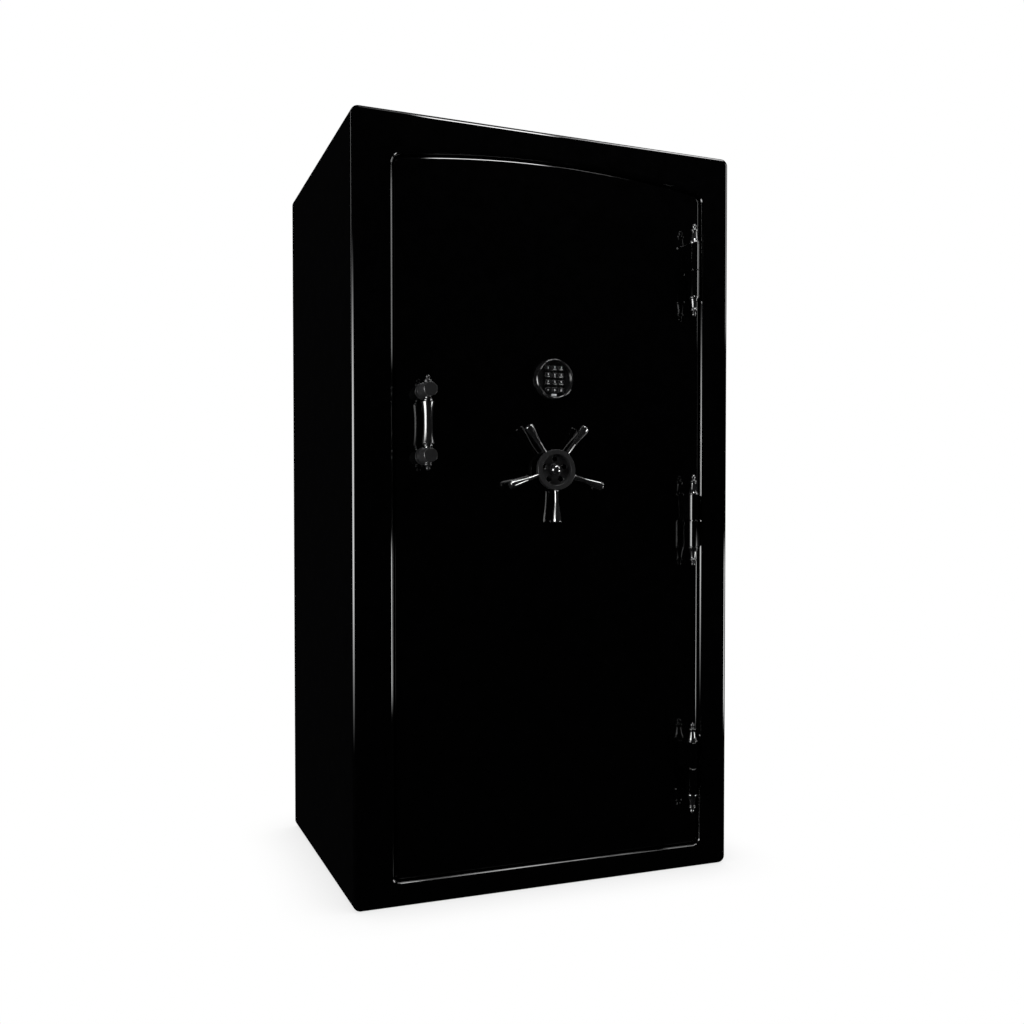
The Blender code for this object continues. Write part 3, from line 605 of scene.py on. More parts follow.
# ------------------------------------------------------------------ cabinet
def cabinet():
    # front frame: outer bend, flat face, rolled edge, wall, stop flange and jamb
    rings = [ring_y(body_outline(0.0), 0.0153), ring_y(body_outline(0.0), 0.0095)]
    for k in range(13):
        a = math.radians(90.0 * k / 12)
        rings.append(ring_y(body_outline(FRONT_R * (1 - math.cos(a))),
                            FRONT_R * (1 - math.sin(a))))
    for k in range(17):
        a = math.radians(90.0 * k / 16)
        rings.append(ring_y(arched(DOOR_GAP + ROLL_R * (1 - math.sin(a))),
                            ROLL_R * (1 - math.cos(a))))
    rings.append(ring_y(arched(DOOR_GAP), STOP_Y - 0.0012))
    rings.append(ring_y(arched(DOOR_GAP - 0.0012), STOP_Y))
    x0, x1, z0, z1 = JAMB
    for grow, y in ((0.0010, STOP_Y), (0.0003, STOP_Y + 0.0003), (0.0, STOP_Y + 0.0010),
                    (0.0, JAMB_Y)):
        rings.append(ring_y(round_rect(x0 - grow, x1 + grow, z0 - grow, z1 + grow,
                                       0.006 + grow), y))
    ob = loft("front_frame_sheet", rings, caps=False, fix=False)
    bm = bmesh.new()
    bm.from_mesh(ob.data)
    bmesh.ops.recalc_face_normals(bm, faces=bm.faces)
    face = max((f for f in bm.faces if f.calc_center_median().y < Y0 + 0.0005),
               key=lambda f: f.calc_area())
    if face.normal.y > 0:
        bmesh.ops.reverse_faces(bm, faces=bm.faces)
    bm.to_mesh(ob.data)
    bm.free()
    mod = ob.modifiers.new("sheet", "SOLIDIFY")
    mod.thickness = FRAME_T
    mod.offset = -1.0
    mod.use_even_offset = True
    done(ob, "paint", "cabinet", ["front_frame"], 50)

    # wrapped body, open at both ends
    y0, y1 = 0.0153, BODY_D - 0.0040
    outer, inner = body_outline(0.0), body_outline(SHELL_T)
    ob = loft("body_shell_sheet", [ring_y(outer, y0), ring_y(outer, y1 - 0.0006),
                                   ring_y(body_outline(0.0006), y1),
                                   ring_y(inner, y1), ring_y(inner, y0)], closed=True)
    anchors = [(sx * 0.300, yy) for sx in (-1, 1) for yy in (0.190, 0.554)]
    cut(ob, *[rod(pt(ax, ay, 0.0), (0, 0, 1), 0.007, 0.03, 32) for ax, ay in anchors])
    done(ob, "paint", "cabinet", ["body_shell"], 40)

    yb = BODY_D - 0.0037
    rings = [ring_y(body_outline(0.0006), yb), ring_y(body_outline(0.0), yb + 0.0006)]
    for k in range(7):
        a = math.radians(90.0 * k / 6)
        rings.append(ring_y(body_outline(0.0016 * (1 - math.cos(a))),
                            BODY_D - 0.0016 * (1 - math.sin(a))))
    ob = loft("back_panel_sheet", rings)
    done(ob, "paint", "cabinet", ["back_panel"], 40)
    clear_tools()


def slab(name, lo, hi, radius, body, node, tools=(), look="carpet",
         puff=0.0, cuts=(1, 1, 1)):
    """A carpeted board with soft edges."""
    (x0, y0, z0), (x1, y1, z1) = lo, hi
    bm = bmesh.new()
    bmesh.ops.create_cube(bm, size=1.0)
    bmesh.ops.scale(bm, vec=(x1 - x0, y1 - y0, z1 - z0), verts=bm.verts)
    bmesh.ops.translate(bm, vec=((x0 + x1) / 2, (y0 + y1) / 2, (z0 + z1) / 2), verts=bm.verts)
    me = bpy.data.meshes.new(name)
    bm.to_mesh(me)
    bm.free()
    ob = bpy.data.objects.new(name, me)
    scene.collection.objects.link(ob)
    for tool in tools:
        cut(ob, tool)
    bevel(ob, radius, 4, 50)
    return done(ob, look, body, [node], 50)


def node_slab(node, name, radius, body="cabinet", tools=(), look="carpet"):
    lo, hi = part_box(node)
    return slab(name, tuple(lo), tuple(hi), radius, body, node, tools, look)


def interior():
    anchors = [(sx * 0.300, yy) for sx in (-1, 1) for yy in (0.190, 0.554)]
    for side in ("left", "right", "top", "back"):
        node_slab("liner_" + side, "lining_" + side, 0.0030)
    node_slab("liner_floor", "lining_floor", 0.0030, tools=[
        rod(pt(ax, ay, 0.015), (0, 0, 1), 0.012, 0.06, 40) for ax, ay in anchors])
    clear_tools()
    for node in ("top_shelf", "divider_panel", "side_shelf_1", "side_shelf_2"):
        node_slab(node, node + "_carpeted", 0.0045)
    # barrel rack with a padded lip round each notch
    x0, x1, y0, y1, r = -0.4279, 0.0597, 0.564, 0.6685, 0.019
    loop = [(x0, y1), (x0, y0)]
    for i in range(6):
        nx = -0.380 + 0.076 * i
        loop += arc(nx - r - 0.006, y0 + 0.006, 0.006, 270, 360, 6)
        loop += arc(nx, y0 + 0.045, r, 180, 0, 24)
        loop += arc(nx + r + 0.006, y0 + 0.006, 0.006, 180, 270, 6)
    loop += [(x1, y0), (x1, y1)]
    ob = loft("barrel_rack_carpeted", [[pt(x, y, 0.900) for x, y in loop],
                                       [pt(x, y, 0.918) for x, y in loop]])
    bevel(ob, 0.0035, 4, 60)
    done(ob, "carpet", "cabinet", ["barrel_rack"], 50)


# ------------------------------------------------------------------ door
def door():
    rings = [ring_y(arched(-0.0004), DOOR_Y + DOOR_T), ring_y(arched(0.0), DOOR_Y + DOOR_T - 0.0004)]
    for k in range(13):
        a = math.radians(90.0 * k / 12)
        rings.append(ring_y(arched(-0.006 * (1 - math.cos(a))),
                            DOOR_Y + 0.006 * (1 - math.sin(a))))
    ob = loft("door_skin", rings)
    half = BARREL_L / 2
    cut(ob, *[block(HINGE_X - 0.0010, 0.42, -0.01, 0.04, hz - half - 0.003, hz + 0.001)
              for hz in HINGE_Z])
    cut(ob, rod(pt(0, 0.01, HUB_Z), (0, 1, 0), 0.0095, 0.05, 48),
        rod(pt(0.012, 0.01, KEYPAD_Z - 0.012), (0, 1, 0), 0.004, 0.05, 32))
    done(ob, "paint", "door", ["door_plate"], 35)
    clear_tools()

    # seal: a hollow-looking bulb with a flat foot
    x0, x1, z0, z1 = -0.3625, 0.3470, 0.063, 1.580
    ya, yb = DOOR_Y + DOOR_T + GAP, STOP_Y - GAP
    shape = [(0.0, ya), (0.0, ya + 0.0030)]
    depth = yb - ya - 0.0030
    for k in range(1, 16):
        a = math.pi * k / 16
        shape.append((0.007 - 0.007 * math.cos(a), ya + 0.0030 + depth * math.sin(a)))
    shape += [(0.014, ya + 0.0030), (0.014, ya)]
    rings = []
    for inset, y in shape:
        rings.append(ring_y(round_rect(x0 + inset, x1 - inset, z0 + inset, z1 - inset,
                                       0.020 - inset), y))
    ob = loft("door_seal_bulb", rings, closed=True)
    done(ob, "seal", "door", ["door_seal"], 40)

    fx0, fx1, fz0, fz1 = FRAME_BOX
    ft = 0.003
    outer = round_rect(fx0, fx1, fz0, fz1, 0.0045, 6, 1)
    inner = round_rect(fx0 + ft, fx1 - ft, fz0 + ft, fz1 - ft, 0.0015, 6, 1)
    ob = loft("bolt_channel", [ring_y(outer, ya), ring_y(outer, FRAME_Y1 - 0.0004),
                               ring_y(round_rect(fx0 + 0.0004, fx1 - 0.0004, fz0 + 0.0004,
                                                 fz1 - 0.0004, 0.0041, 6, 1), FRAME_Y1),
                               ring_y(inner, FRAME_Y1), ring_y(inner, ya)], closed=True)
    cut(ob, *[rod(pt(0, BOLT_Y, bz), (1, 0, 0), BOLT_R + 0.0012, 1.0, 48) for bz in BOLTS_Z])
    cut(ob, *[rod(pt(bx, BOLT_Y, 0.85), (0, 0, 1), BOLT_R + 0.0012, 1.8, 48) for bx in BOLTS_X])
    done(ob, "dark_steel", "door", ["bolt_frame"], 35)
    clear_tools()

    # carpeted cover on the inside, held by trim screws in cup washers
    ob = node_slab("door_inner_panel", "door_inner_cover", 0.0030, body="door")
    y = FRAME_Y1 + 0.008
    cup = fillet([(0.0, 0.0016), (0.0022, 0.0016), (0.0034, 0.0010), (0.0060, 0.0012),
                  (0.0072, 0.0), (0.0072, -0.0010), (0.0, -0.0010)], 0.0006, 4)
    places = [(fx0 + 0.022, z) for z in (0.115, 0.470, 0.823, 1.176, 1.530)]
    places += [(fx1 - 0.022, z) for z in (0.115, 0.470, 0.823, 1.176, 1.530)]
    places += [((fx0 + fx1) / 2, z) for z in (0.115, 1.530)]
    for i, (sx, sz) in enumerate(places, 1):
        ob = lathe("trim_screw_%02d" % i, cup, pt(sx, y, sz), (0, 1, 0), 32)
        cut(ob, block(sx - 0.0016, sx + 0.0016, y + 0.0008, y + 0.004, sz - 0.0003, sz + 0.0003),
            block(sx - 0.0003, sx + 0.0003, y + 0.0008, y + 0.004, sz - 0.0016, sz + 0.0016))
        done(ob, "steel", "door", (), 35)
        clear_tools()


# ------------------------------------------------------------------ hinges
FINIAL = [(0.0, 0.0463), (0.0026, 0.0452), (0.0046, 0.0425), (0.0050, 0.0400), (0.0042, 0.0370),
          (0.0032, 0.0350), (0.0040, 0.0336), (0.0078, 0.0322), (0.0084, 0.0306),
          (0.0078, 0.0290), (0.0061, 0.0270), (0.0060, 0.0250), (0.0066, 0.0190),
          (0.0078, 0.0110), (0.0094, 0.0055), (0.0110, 0.0030), (0.0112, 0.0016)]


def hinges():
    half = BARREL_L / 2
    chamfer = 0.0007
    for n, hz in enumerate(HINGE_Z, 1):
        here = pt(HINGE_X, HINGE_Y, hz)
        soft = fillet(FINIAL, 0.004, 4)
        prof = [(r, h + half + GAP) for r, h in soft]
        prof += [(0.0106, half + GAP), (PIN_R, half + GAP), (PIN_R, -half - GAP), (0.0106, -half - GAP)]
        prof += [(r, -h - half - GAP) for r, h in reversed(soft)]
        done(lathe("hinge_pin_finial_%d" % n, prof, here, (0, 0, 1), 64), "chrome",
             frame["record"]["behaviour"] and NODES["hinge_pin_%d" % n]["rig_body"],
             ["hinge_pin_%d" % n], 40)

        for up in (False, True):
            sign = 1 if up else -1
            mid = here + Vector((0, 0, sign * (half / 2 + 0.0003)))
            hh = (half - 0.0006) / 2
            prof = [(BORE_R, -hh), (BARREL_R - chamfer, -hh), (BARREL_R, -hh + chamfer),
                    (BARREL_R, hh - chamfer), (BARREL_R - chamfer, hh), (BORE_R, hh)]
            name = ("door_knuckle_%d" if up else "frame_knuckle_%d") % n
            ob = lathe(name + "_barrel", prof, mid, (0, 0, 1), 72, closed=True)
            if up:
                rel = [(-0.0103, -0.0030), (-0.0200, 0.0316), (-0.0015, 0.0316), (0.0040, 0.0060)]
                tool = loft("tool", [[Vector((mid.x + x, mid.y + y, mid.z + s * 0.0295))
                                      for x, y in rel] for s in (-1, 1)])
                temp.append(tool)
                bevel(tool, 0.0009, 3, 30)
                settle(tool)
            else:
                reach = DOOR_CX + DOOR_XH + DOOR_GAP - GAP - HINGE_X
                deep = STOP_Y - GAP - HINGE_Y
                rel = [(0.0010, 0.0060), (0.0095, 0.0020), (reach, 0.0400), (reach, deep),
                       (0.0010, deep)]
                tool = loft("tool", [[Vector((here.x + x, here.y + y,
                                              here.z - half / 2 - 0.0005 + s * (half - 0.003) / 2))
                                      for x, y in rel] for s in (-1, 1)])
                temp.append(tool)
                bevel(tool, 0.0009, 3, 30)
                settle(tool)
            join(ob, tool)
            cut(ob, rod(here, (0, 0, 1), BORE_R, 0.2, 72))
            done(ob, "paint", "door" if up else "cabinet", [name], 35)
            clear_tools()


# ------------------------------------------------------------------ five-spoke handle
def handle():
    centre = pt(0, HUB_Y, HUB_Z)
    rim = [(0.0130, -0.0010), (0.0150, -0.0044), (0.0344, -0.0044), (0.0350, 0.0069),
           (0.0353, 0.0072), (0.0446, 0.0072), (0.0450, 0.0068), (0.0450, -0.0050),
           (0.0430, -0.0075), (0.0180, -0.0085), (0.0165, -0.0180), (0.0190, -0.0214),
           (0.0086, -0.0214), (0.0086, -0.0080)]
    prof = [(0.0, -0.0010)] + fillet([(0.0, -0.0010)] + rim + [(0.0, -0.0080)], 0.0004, 3)[1:]
    ob = lathe("hub_casting", prof, centre, (0, -1, 0), 144)
    holes = []
    for k in range(5):
        a = math.radians(90 + 72 * k)
        place = pt(0.0245 * math.cos(a), HUB_Y, HUB_Z + 0.0245 * math.sin(a))
        holes.append(lathe("tool", [(0, 0.020), (0.0070, 0.020), (0.0070, -0.0044),
                                    (0.0064, -0.0051), (0.0064, -0.030), (0, -0.030)],
                           place, (0, -1, 0), 40))
        temp.append(holes[-1])
    cut(ob, *holes)
    done(ob, "casting", "handle_wheel", ["hub"], 35)
    clear_tools()
    cap = fillet([(0.0, 0.0105), (0.0045, 0.0100), (0.0085, 0.0080), (0.0112, 0.0045),
                  (0.0120, 0.0), (0.0120, -0.0007), (0.0, -0.0007)], 0.012, 5)
    done(lathe("hub_cap_dome", cap, centre, (0, -1, 0), 96), "spoke", "handle_wheel",
         ["hub_cap"], 50)
    t = SPOKE_TIP
    spoke = [(0.0, t - 0.0002), (0.0050, t - 0.0001), (0.0086, t - 0.0004), (0.0099, t - 0.0022),
             (0.0099, t - 0.0080), (0.0085, t - 0.0200), (0.0063, t - 0.0340),
             (0.0050, t - 0.0460), (0.0046, t - 0.0580), (0.0046, HUB_R + 0.0075),
             (0.0048, HUB_R + 0.0030), (0.0052, HUB_R + 0.0009), (0.0, HUB_R + 0.0009)]
    prof = fillet(spoke, 0.02, 5)
    for k in range(5):
        a = math.radians(270 + 72 * k)
        done(lathe("spoke_%d_turned" % (k + 1), prof, centre,
                   (math.cos(SPOKE_LEAN) * math.cos(a), -math.sin(SPOKE_LEAN),
                    math.cos(SPOKE_LEAN) * math.sin(a)), 48),
             "spoke", "handle_wheel", ["spoke_%d" % (k + 1)], 50)


# ------------------------------------------------------------------ pull handle
def pull():
    post_z = PULL_PITCH / 2
    front = 0.057
    post = [(0.0, front), (0.0142, front - 0.0002), (0.0150, front - 0.0014), (0.0150, 0.0090), (0.0140, 0.0070), (0.0140, 0.0050),
            (0.0185, 0.0035), (0.0185, GAP), (0.0, GAP)]
    tip = [(0.0, 0.0318), (0.0030, 0.0310), (0.0049, 0.0284), (0.0047, 0.0258),
           (0.0034, 0.0240), (0.0050, 0.0228), (0.0080, 0.0208), (0.0083, 0.0190),
           (0.0074, 0.0166), (0.0074, 0.0150), (0.0090, 0.0120), (0.0092, 0.0060), (0.0, 0.0060)]
    for label, sign in (("upper", 1), ("lower", -1)):
        z = PULL_Z + sign * post_z
        ob = lathe("pull_post_%s_turned" % label, fillet(post, 0.0005, 4),
                   pt(PULL_X, DOOR_Y, z), (0, -1, 0), 96)
        tool = lathe("tool", fillet(tip, 0.003, 5), pt(PULL_X, PULL_Y, z), (0, 0, sign), 64)
        temp.append(tool)
        join(ob, tool)
        done(ob, "casting", "door", ["pull_post_" + label], 35)
        clear_tools()
    hl = post_z - 0.0153
    half = [(0.0, hl), (0.0072, hl), (0.0072, hl - 0.0032), (0.0096, hl - 0.0046),
            (0.0100, hl - 0.0062), (0.0096, hl - 0.0078), (0.0078, hl - 0.0092),
            (0.0130, hl - 0.0098)]
    top = hl - 0.0104
    half += [(0.0099 + 0.0036 * (h / top) ** 2.4, h) for h in (top * k / 15 for k in range(15, 0, -1))]
    prof = half + [(r, -h) for r, h in reversed(half)]
    done(lathe("pull_grip_turned", fillet(prof, 0.0009, 4), pt(PULL_X, PULL_Y, PULL_Z),
               (0, 0, 1), 96), "chrome", "door", ["pull_grip"], 40)


# ------------------------------------------------------------------ keypad
COLS = (-0.016, 0.0, 0.016)
ROWS = (0.0243, 0.0081, -0.0081, -0.0243)
NAMES = (("key_1", "key_2", "key_3"), ("key_4", "key_5", "key_6"),
         ("key_7", "key_8", "key_9"), ("key_star", "key_0", "key_hash"))
LETTERS = {"key_2": "ABC", "key_3": "DEF", "key_4": "GHI", "key_5": "JKL", "key_6": "MNO",
           "key_7": "PRS", "key_8": "TUV", "key_9": "WXY"}
KEY_W, KEY_H = 0.0134, 0.0115


def field(r, h):
    a = math.degrees(math.acos(h / r))
    return arc(0, 0, r, a, 180 - a, 32) + arc(0, 0, r, 180 + a, 360 - a, 32)


def glyph(text, height, cx, cz, y, depth, bold=0.0, stretch=1.0):
    """Letters as a thin solid, centred on a point and facing the front."""
    curve = bpy.data.curves.new("glyph", "FONT")
    curve.body = text
    curve.extrude = 0.05
    curve.offset = bold
    curve.resolution_u = 4
    ob = bpy.data.objects.new("glyph", curve)
    scene.collection.objects.link(ob)
    bpy.context.view_layer.update()
    deps = bpy.context.evaluated_depsgraph_get()
    me = bpy.data.meshes.new_from_object(ob.evaluated_get(deps))
    bpy.data.objects.remove(ob, do_unlink=True)
    bpy.data.curves.remove(curve)
    xs = [v.co.x for v in me.vertices]
    zs = [v.co.y for v in me.vertices]
    s = height / (max(zs) - min(zs))
    mx, mz = (max(xs) + min(xs)) / 2, (max(zs) + min(zs)) / 2
    verts = [pt(cx + (v.co.x - mx) * s * stretch, y - (v.co.z / 0.05) * depth / 2,
                cz + (v.co.y - mz) * s) for v in me.vertices]
    faces = [tuple(p.vertices) for p in me.polygons]
    bpy.data.meshes.remove(me)
    return verts, faces


def keypad():
    prof = [(0.0, 0.0140), (0.0385, 0.0140), (0.0392, 0.0160), (0.0402, 0.0188),
            (0.0416, 0.0200), (0.0432, 0.0196), (0.0445, 0.0180), (0.0450, 0.0152),
            (0.0450, 0.0012), (0.0446, GAP), (0.0, GAP)]
    ob = lathe("keypad_shell", fillet(prof, 0.0010, 5), pt(0, DOOR_Y, KEYPAD_Z), (0, -1, 0), 160)
    pocket = prism([(x, z + KEYPAD_Z) for x, z in field(0.0385, 0.0270)],
                   DOOR_Y - 0.03, DOOR_Y - 0.0030)
    cut(ob, pocket, rod(pt(0.012, DOOR_Y, KEYPAD_Z - 0.012), (0, 1, 0), 0.004, 0.02, 24))
    done(ob, "housing", "door", ["keypad_housing"], 35)
    clear_tools()

    ob = loft("keypad_plate", [ring_y([(x, z + KEYPAD_Z) for x, z in field(0.0381, 0.0266)], y)
                               for y in (DOOR_Y - 0.0095, DOOR_Y - 0.0125)])
    for side in (-1, 1):
        join(ob, prism([(x, z + KEYPAD_Z) for x, z in
                        round_rect(side * 0.0256 - 0.0008, side * 0.0256 + 0.0008,
                                   -0.0262, 0.0262, 0.0007, 5, 1)],
                       DOOR_Y - 0.0150, DOOR_Y - 0.0110))
    tools = []
    for cz in ROWS:
        for cx in COLS:
            w, h = KEY_W / 2 + 0.0004, KEY_H / 2 + 0.0004
            tools.append(prism([(x, z + KEYPAD_Z) for x, z in
                                round_rect(cx - w, cx + w, cz - h, cz + h, 0.0018, 5, 1)],
                               DOOR_Y - 0.02, DOOR_Y - 0.005))
    slot = arc(-0.0042, -0.0348, 0.0027, 90, 270, 16) + arc(0.0042, -0.0348, 0.0027, 270, 450, 16)
    tools.append(prism([(x, z + KEYPAD_Z) for x, z in slot], DOOR_Y - 0.02, DOOR_Y - 0.005))
    cut(ob, *tools)
    bevel(ob, 0.00025, 2, 50)
    done(ob, "keypad_face", "door", ["keypad_face"], 35)
    clear_tools()

    rings = []
    for inset, y in ((0.0, 0.0095), (0.0, 0.0126), (0.0002, 0.0131), (0.0007, 0.0134),
                     (0.0014, 0.0135)):
        r = 0.0023 - inset
        loop = (arc(-0.0042, -0.0348, r, 90, 270, 16) + arc(0.0042, -0.0348, r, 270, 450, 16))
        rings.append(ring_y([(x, z + KEYPAD_Z) for x, z in loop], DOOR_Y - y))
    done(loft("keypad_lens", rings), "window", "door", ["keypad_window"], 50)

    crown = ((0.0, 0.0060), (0.0, 0.0155), (0.00012, 0.01592), (0.00035, 0.01622),
             (0.0007, 0.01642), (0.0011, 0.0165), (0.0016, 0.01647), (0.0024, 0.01636),
             (0.0034, 0.01627), (0.0045, 0.01622))
    for cz, row in zip(ROWS, NAMES):
        for cx, label in zip(COLS, row):
            rings = []
            for inset, y in crown:
                w, h = KEY_W / 2 - inset, KEY_H / 2 - inset
                rings.append(ring_y(round_rect(cx - w, cx + w, KEYPAD_Z + cz - h,
                                               KEYPAD_Z + cz + h, max(0.0020 - inset, 0.0006),
                                               7, 5), DOOR_Y - y))
            done(loft(label + "_cap", rings), "keys", label, [label], 50)
            mark = {"key_star": "*", "key_hash": "#"}.get(label, label[-1])
            y = DOOR_Y - 0.01648
            zc = KEYPAD_Z + cz
            if label in LETTERS:
                verts, faces = glyph(mark, 0.0044, cx, zc + 0.0019, y, 0.0004, 0.010, 1.15)
                v2, f2 = glyph(LETTERS[label], 0.0021, cx, zc - 0.0030, y, 0.0004, 0.012, 1.45)
                faces = faces + [tuple(i + len(verts) for i in f) for f in f2]
                verts = verts + v2
            elif label == "key_star":
                verts, faces = glyph(mark, 0.0036, cx, zc, y, 0.0004, 0.010)
            else:
                verts, faces = glyph(mark, 0.0048, cx, zc, y, 0.0004, 0.010, 1.15)
            ob = obj_of(label + "_mark", verts, faces)
            done(ob, "ink", label, (), 35, weigh=False)


# ------------------------------------------------------------------ bolt work
def rack_outline(u0, u1, back, first, count):
    slope = math.tan(math.radians(20))
    half = (TOOTH / 2 - 0.0004) / 2
    root, tip = 0.0026, -0.0019
    pts = []
    for k in range(count):
        c = first + k * TOOTH
        pts += [(c - half - root * slope, root), (c - half - tip * slope, tip),
                (c + half + tip * slope, tip), (c + half + root * slope, root)]
    return pts + [(u1, root), (u1, back), (u0, back), (u0, root)]


def bolt(mid, axis, length, outward):
    """A round bolt with a chamfered nose."""
    h = length / 2
    prof = fillet([(0.0, h), (BOLT_R - 0.0030, h), (BOLT_R, h - 0.0032), (BOLT_R, -h), (0.0, -h)],
                  0.0008, 3)
    ob = lathe("tool", prof, mid, [a * outward for a in axis], 56)
    temp.append(ob)
    return ob


def plate_tool(x0, x1, y0, y1, z0, z1):
    tool = block(x0, x1, y0, y1, z0, z1)
    bevel(tool, 0.0009, 2, 30)
    return settle(tool)


def bolts():
    first, count = -2.5 * TOOTH, 9
    for name, side in (("bolt_bar_left", -1), ("bolt_bar_right", 1)):
        bar = (-0.289, -0.281) if side < 0 else (0.276, 0.284)
        tip = -0.335 if side < 0 else 0.329
        inner = bar[0] + 0.002 if side > 0 else bar[1] - 0.002
        base = plate_tool(bar[0], bar[1], 0.0610, 0.0990, 0.240, 1.425)
        temp.remove(base)
        base.name = name + "_plate"
        join(base, *[bolt(pt((inner + tip) / 2, BOLT_Y, bz), (1, 0, 0), abs(tip - inner), side)
                     for bz in BOLTS_Z])
        pts = rack_outline(-abs(inner), 0.047, 0.0226, first, count)
        loop = [(u, PITCH_R + v) for u, v in pts] if side < 0 else [(-u, -PITCH_R - v) for u, v in pts]
        join(base, prism([(x, z + HUB_Z) for x, z in loop], *LAYER_H))
        done(base, "bolt", NODES[name]["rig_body"], [name], 35)
        clear_tools()
    for name, side in (("bolt_bar_top", 1), ("bolt_bar_bottom", -1)):
        bar = (1.508, 1.516) if side > 0 else (0.129, 0.137)
        tip = 1.558 if side > 0 else 0.087
        inner = bar[0] + 0.002 if side > 0 else bar[1] - 0.002
        base = plate_tool(-0.235, 0.235, 0.0610, 0.0990, bar[0], bar[1])
        temp.remove(base)
        base.name = name + "_plate"
        join(base, *[bolt(pt(bx, BOLT_Y, (inner + tip) / 2), (0, 0, 1), abs(tip - inner), side)
                     for bx in BOLTS_X])
        pts = rack_outline(-abs(inner - HUB_Z), 0.047, 0.0226, first, count)
        loop = [(PITCH_R + v, -u) for u, v in pts] if side > 0 else [(-PITCH_R - v, u) for u, v in pts]
        join(base, prism([(x, z + HUB_Z) for x, z in loop], *LAYER_V))
        if side > 0:
            join(base, block(0.0175, PITCH_R + 0.006, LAYER_V[0], LAYER_V[1],
                             LOCK_Z - 0.023, LOCK_Z - 0.007))
        done(base, "bolt", NODES[name]["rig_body"], [name], 35)
        clear_tools()


cabinet()
interior()
door()
hinges()
handle()
pull()
keypad()
bolts()

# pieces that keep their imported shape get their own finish
for node, look, slot in (("spindle", "steel", "steel"), ("hard_plate", "steel", "steel"),
                         ("lock_bolt", "steel", "steel"), ("lock_body", "lock", "lock"),
                         ("door_fireboard", "board", "board")):
    ob = NODES[node]
    ob.data.materials.clear()
    ob.data.materials.append(M[look])


# ------------------------------------------------------------------ studio
def emitter(name, strength, colour=(1.0, 1.0, 1.0), soft=(0.25, 0.25)):
    """A soft panel: it fades towards its edges by the given shares of its half size."""
    n = Nodes(name)
    tree = n.tree
    tree.nodes.remove(n.bsdf)
    out = tree.nodes["Material Output"]
    emit = n.add("ShaderNodeEmission")
    emit.inputs["Color"].default_value = (*colour, 1.0)
    split = n.add("ShaderNodeSeparateXYZ")
    n.link(n.object, split.inputs["Vector"])
    value = None
    for axis, share in zip("XY", soft):
        away = n.math("ABSOLUTE", split.outputs[axis], 0.0)
        node = n.add("ShaderNodeMapRange", interpolation_type="SMOOTHSTEP")
        node.inputs["From Min"].default_value = 1.0
        node.inputs["From Max"].default_value = 1.0 - max(share, 0.001)
        node.inputs["To Min"].default_value = 0.0
        node.inputs["To Max"].default_value = 1.0
        n.link(away, node.inputs["Value"])
        part = node.outputs["Result"]
        value = part if value is None else n.math("MULTIPLY", value, part)
    n.link(n.math("MULTIPLY", value, strength), emit.inputs["Strength"])
    # only the side that faces the object shines
    geo = n.add("ShaderNodeNewGeometry")
    mix = n.add("ShaderNodeMixShader")
    dark = n.add("ShaderNodeBsdfTransparent")
    n.link(geo.outputs["Backfacing"], mix.inputs["Fac"])
    n.link(emit.outputs[0], mix.inputs[1])
    n.link(dark.outputs[0], mix.inputs[2])
    n.link(mix.outputs[0], out.inputs["Surface"])
    return n.mat


def softbox(name, place, target, width, height, strength, soft=(0.25, 0.25), roll=0.0,
            colour=(1.0, 1.0, 1.0)):
    me = bpy.data.meshes.new(name)
    me.from_pydata([(-1, -1, 0), (1, -1, 0), (1, 1, 0), (-1, 1, 0)], [], [(0, 1, 2, 3)])
    ob = bpy.data.objects.new(name, me)
    scene.collection.objects.link(ob)
    me.materials.append(emitter(name + "_glow", strength, colour, soft))
    ob.location = place
    aim = (Vector(target) - Vector(place)).to_track_quat("Z", "Y")
    ob.rotation_mode = "QUATERNION"
    ob.rotation_quaternion = aim @ Matrix.Rotation(math.radians(roll), 4, "Z").to_quaternion()
    ob.scale = (width / 2, height / 2, 1)
    ob.visible_camera = False
    ob.visible_shadow = False
    return ob


FRONT = Vector((0.0, Y0, 0.9))


def around(azimuth, distance, z, origin=FRONT):
    """A place at an azimuth measured from straight ahead towards the door's pull side."""
    a = math.radians(azimuth)
    return Vector((origin.x - distance * math.sin(a), origin.y - distance * math.cos(a), z))


softbox("key_panel", around(84, 2.6, 0.95), (FRONT.x, FRONT.y, 0.95), 2.2, 2.2, 8.5, (0.15, 0.80))
softbox("low_right_panel", (2.6, Y0 - 1.45, 0.30), (0.2, Y0, 0.45), 1.35, 1.0, 9.0, (0.30, 0.40))
softbox("top_panel", (0.55, Y0 - 0.45, 3.35), (0.35, Y0 + 0.1, 1.6), 1.5, 0.75, 1.3, (0.35, 0.35))
softbox("edge_panel", (0.14, Y0 - 0.60, 2.30), (0.04, Y0, 1.69), 0.46, 0.40, 18.0, (0.25, 0.30))
softbox("ahead_panel", (1.1, Y0 - 0.50, 3.25), (0.5, Y0, 0.3), 1.5, 0.8, 7.0, (0.5, 0.4))
softbox("near_right_panel", (1.25, Y0 - 0.40, 1.75), (0.0, Y0, 0.95), 0.55, 0.80, 3.2, (0.30, 0.30))
softbox("rear_panel", (1.2, 2.9, 1.9), (0.0, 0.2, 0.9), 1.4, 1.8, 3.0, (0.3, 0.3))
softbox("rear_left_panel", (-2.9, 2.2, 2.4), (0.0, 0.2, 0.9), 0.5, 1.8, 2.0, (0.3, 0.3))

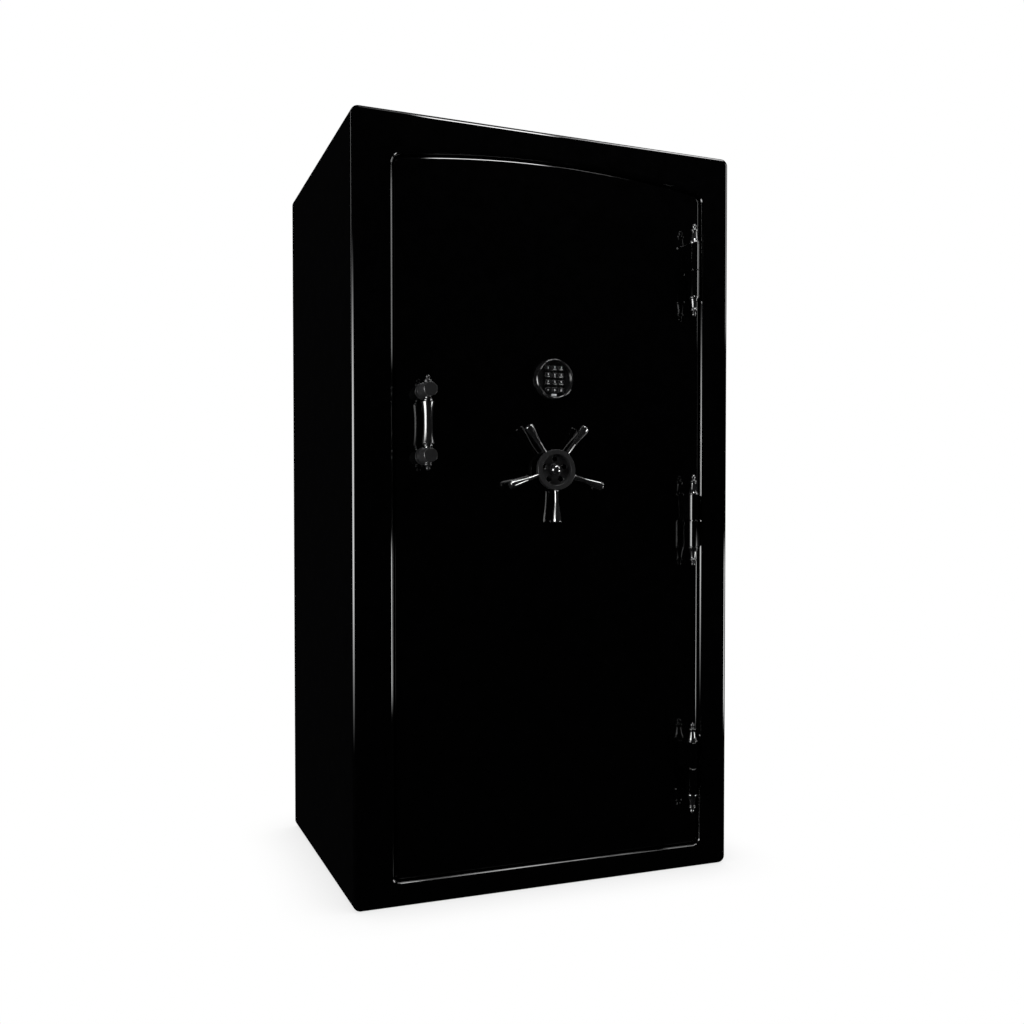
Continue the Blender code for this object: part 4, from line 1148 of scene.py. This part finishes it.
world = bpy.data.worlds.new("studio")
scene.world = world
world.use_nodes = True
wt = world.node_tree
back = wt.nodes["Background"]
back.inputs["Color"].default_value = (0.0020, 0.0020, 0.0021, 1.0)
back.inputs["Strength"].default_value = 1.0
white = wt.nodes.new("ShaderNodeBackground")
white.inputs["Color"].default_value = (1.0, 1.0, 1.0, 1.0)
path = wt.nodes.new("ShaderNodeLightPath")
mixer = wt.nodes.new("ShaderNodeMixShader")
wt.links.new(path.outputs["Is Camera Ray"], mixer.inputs["Fac"])
wt.links.new(back.outputs["Background"], mixer.inputs[1])
wt.links.new(white.outputs["Background"], mixer.inputs[2])
wt.links.new(mixer.outputs["Shader"], wt.nodes["World Output"].inputs["Surface"])

# pale floor that glows evenly, with a painted contact shadow: its glow is darkened where the safe
# stands
me = bpy.data.meshes.new("floor")
segs = 96
me.from_pydata([(0, 0, 0)] + [(7.0 * math.cos(2 * math.pi * i / segs),
                               7.0 * math.sin(2 * math.pi * i / segs), 0)
                              for i in range(segs)], [],
               [(0, i + 1, (i + 1) % segs + 1) for i in range(segs)])
floor = bpy.data.objects.new("floor", me)
scene.collection.objects.link(floor)
floor.location = (0, 0, -0.0006)
n = Nodes("pale_floor")
n.tree.nodes.remove(n.bsdf)
# painted contact shadow: ambient occlusion darkens the floor's glow next to the safe
contact_shadow_ao = n.add("ShaderNodeAmbientOcclusion")
contact_shadow_ao.samples = 8
contact_shadow_ao.inputs["Distance"].default_value = 0.16
emit = n.add("ShaderNodeEmission")
n.link(n.ramp(contact_shadow_ao.outputs["AO"], [(0.35, 0.80), (0.95, 1.0)]), emit.inputs["Color"])
n.link(emit.outputs[0], n.tree.nodes["Material Output"].inputs["Surface"])
me.materials.append(n.mat)
floor.visible_glossy = False
floor.visible_diffuse = False

# ------------------------------------------------------------------ camera
cam = bpy.data.cameras.new("camera")
cam.sensor_fit = "HORIZONTAL"
cam.sensor_width = 36.0
cam.lens = 1050.018 * 36.0 / 1024.0
cam.shift_x = -0.5 / 1024.0
cam.shift_y = (549.2465 - 512.0) / 1024.0
cam.clip_start = 0.05
cam.clip_end = 60.0
eye = bpy.data.objects.new("camera", cam)
scene.collection.objects.link(eye)
eye.location = (-0.95474, -2.50707, 0.81763)
eye.rotation_euler = (math.radians(90 - 1.3254), 0.0, math.radians(-21.6497))
scene.camera = eye
scene.view_settings.view_transform = "Standard"
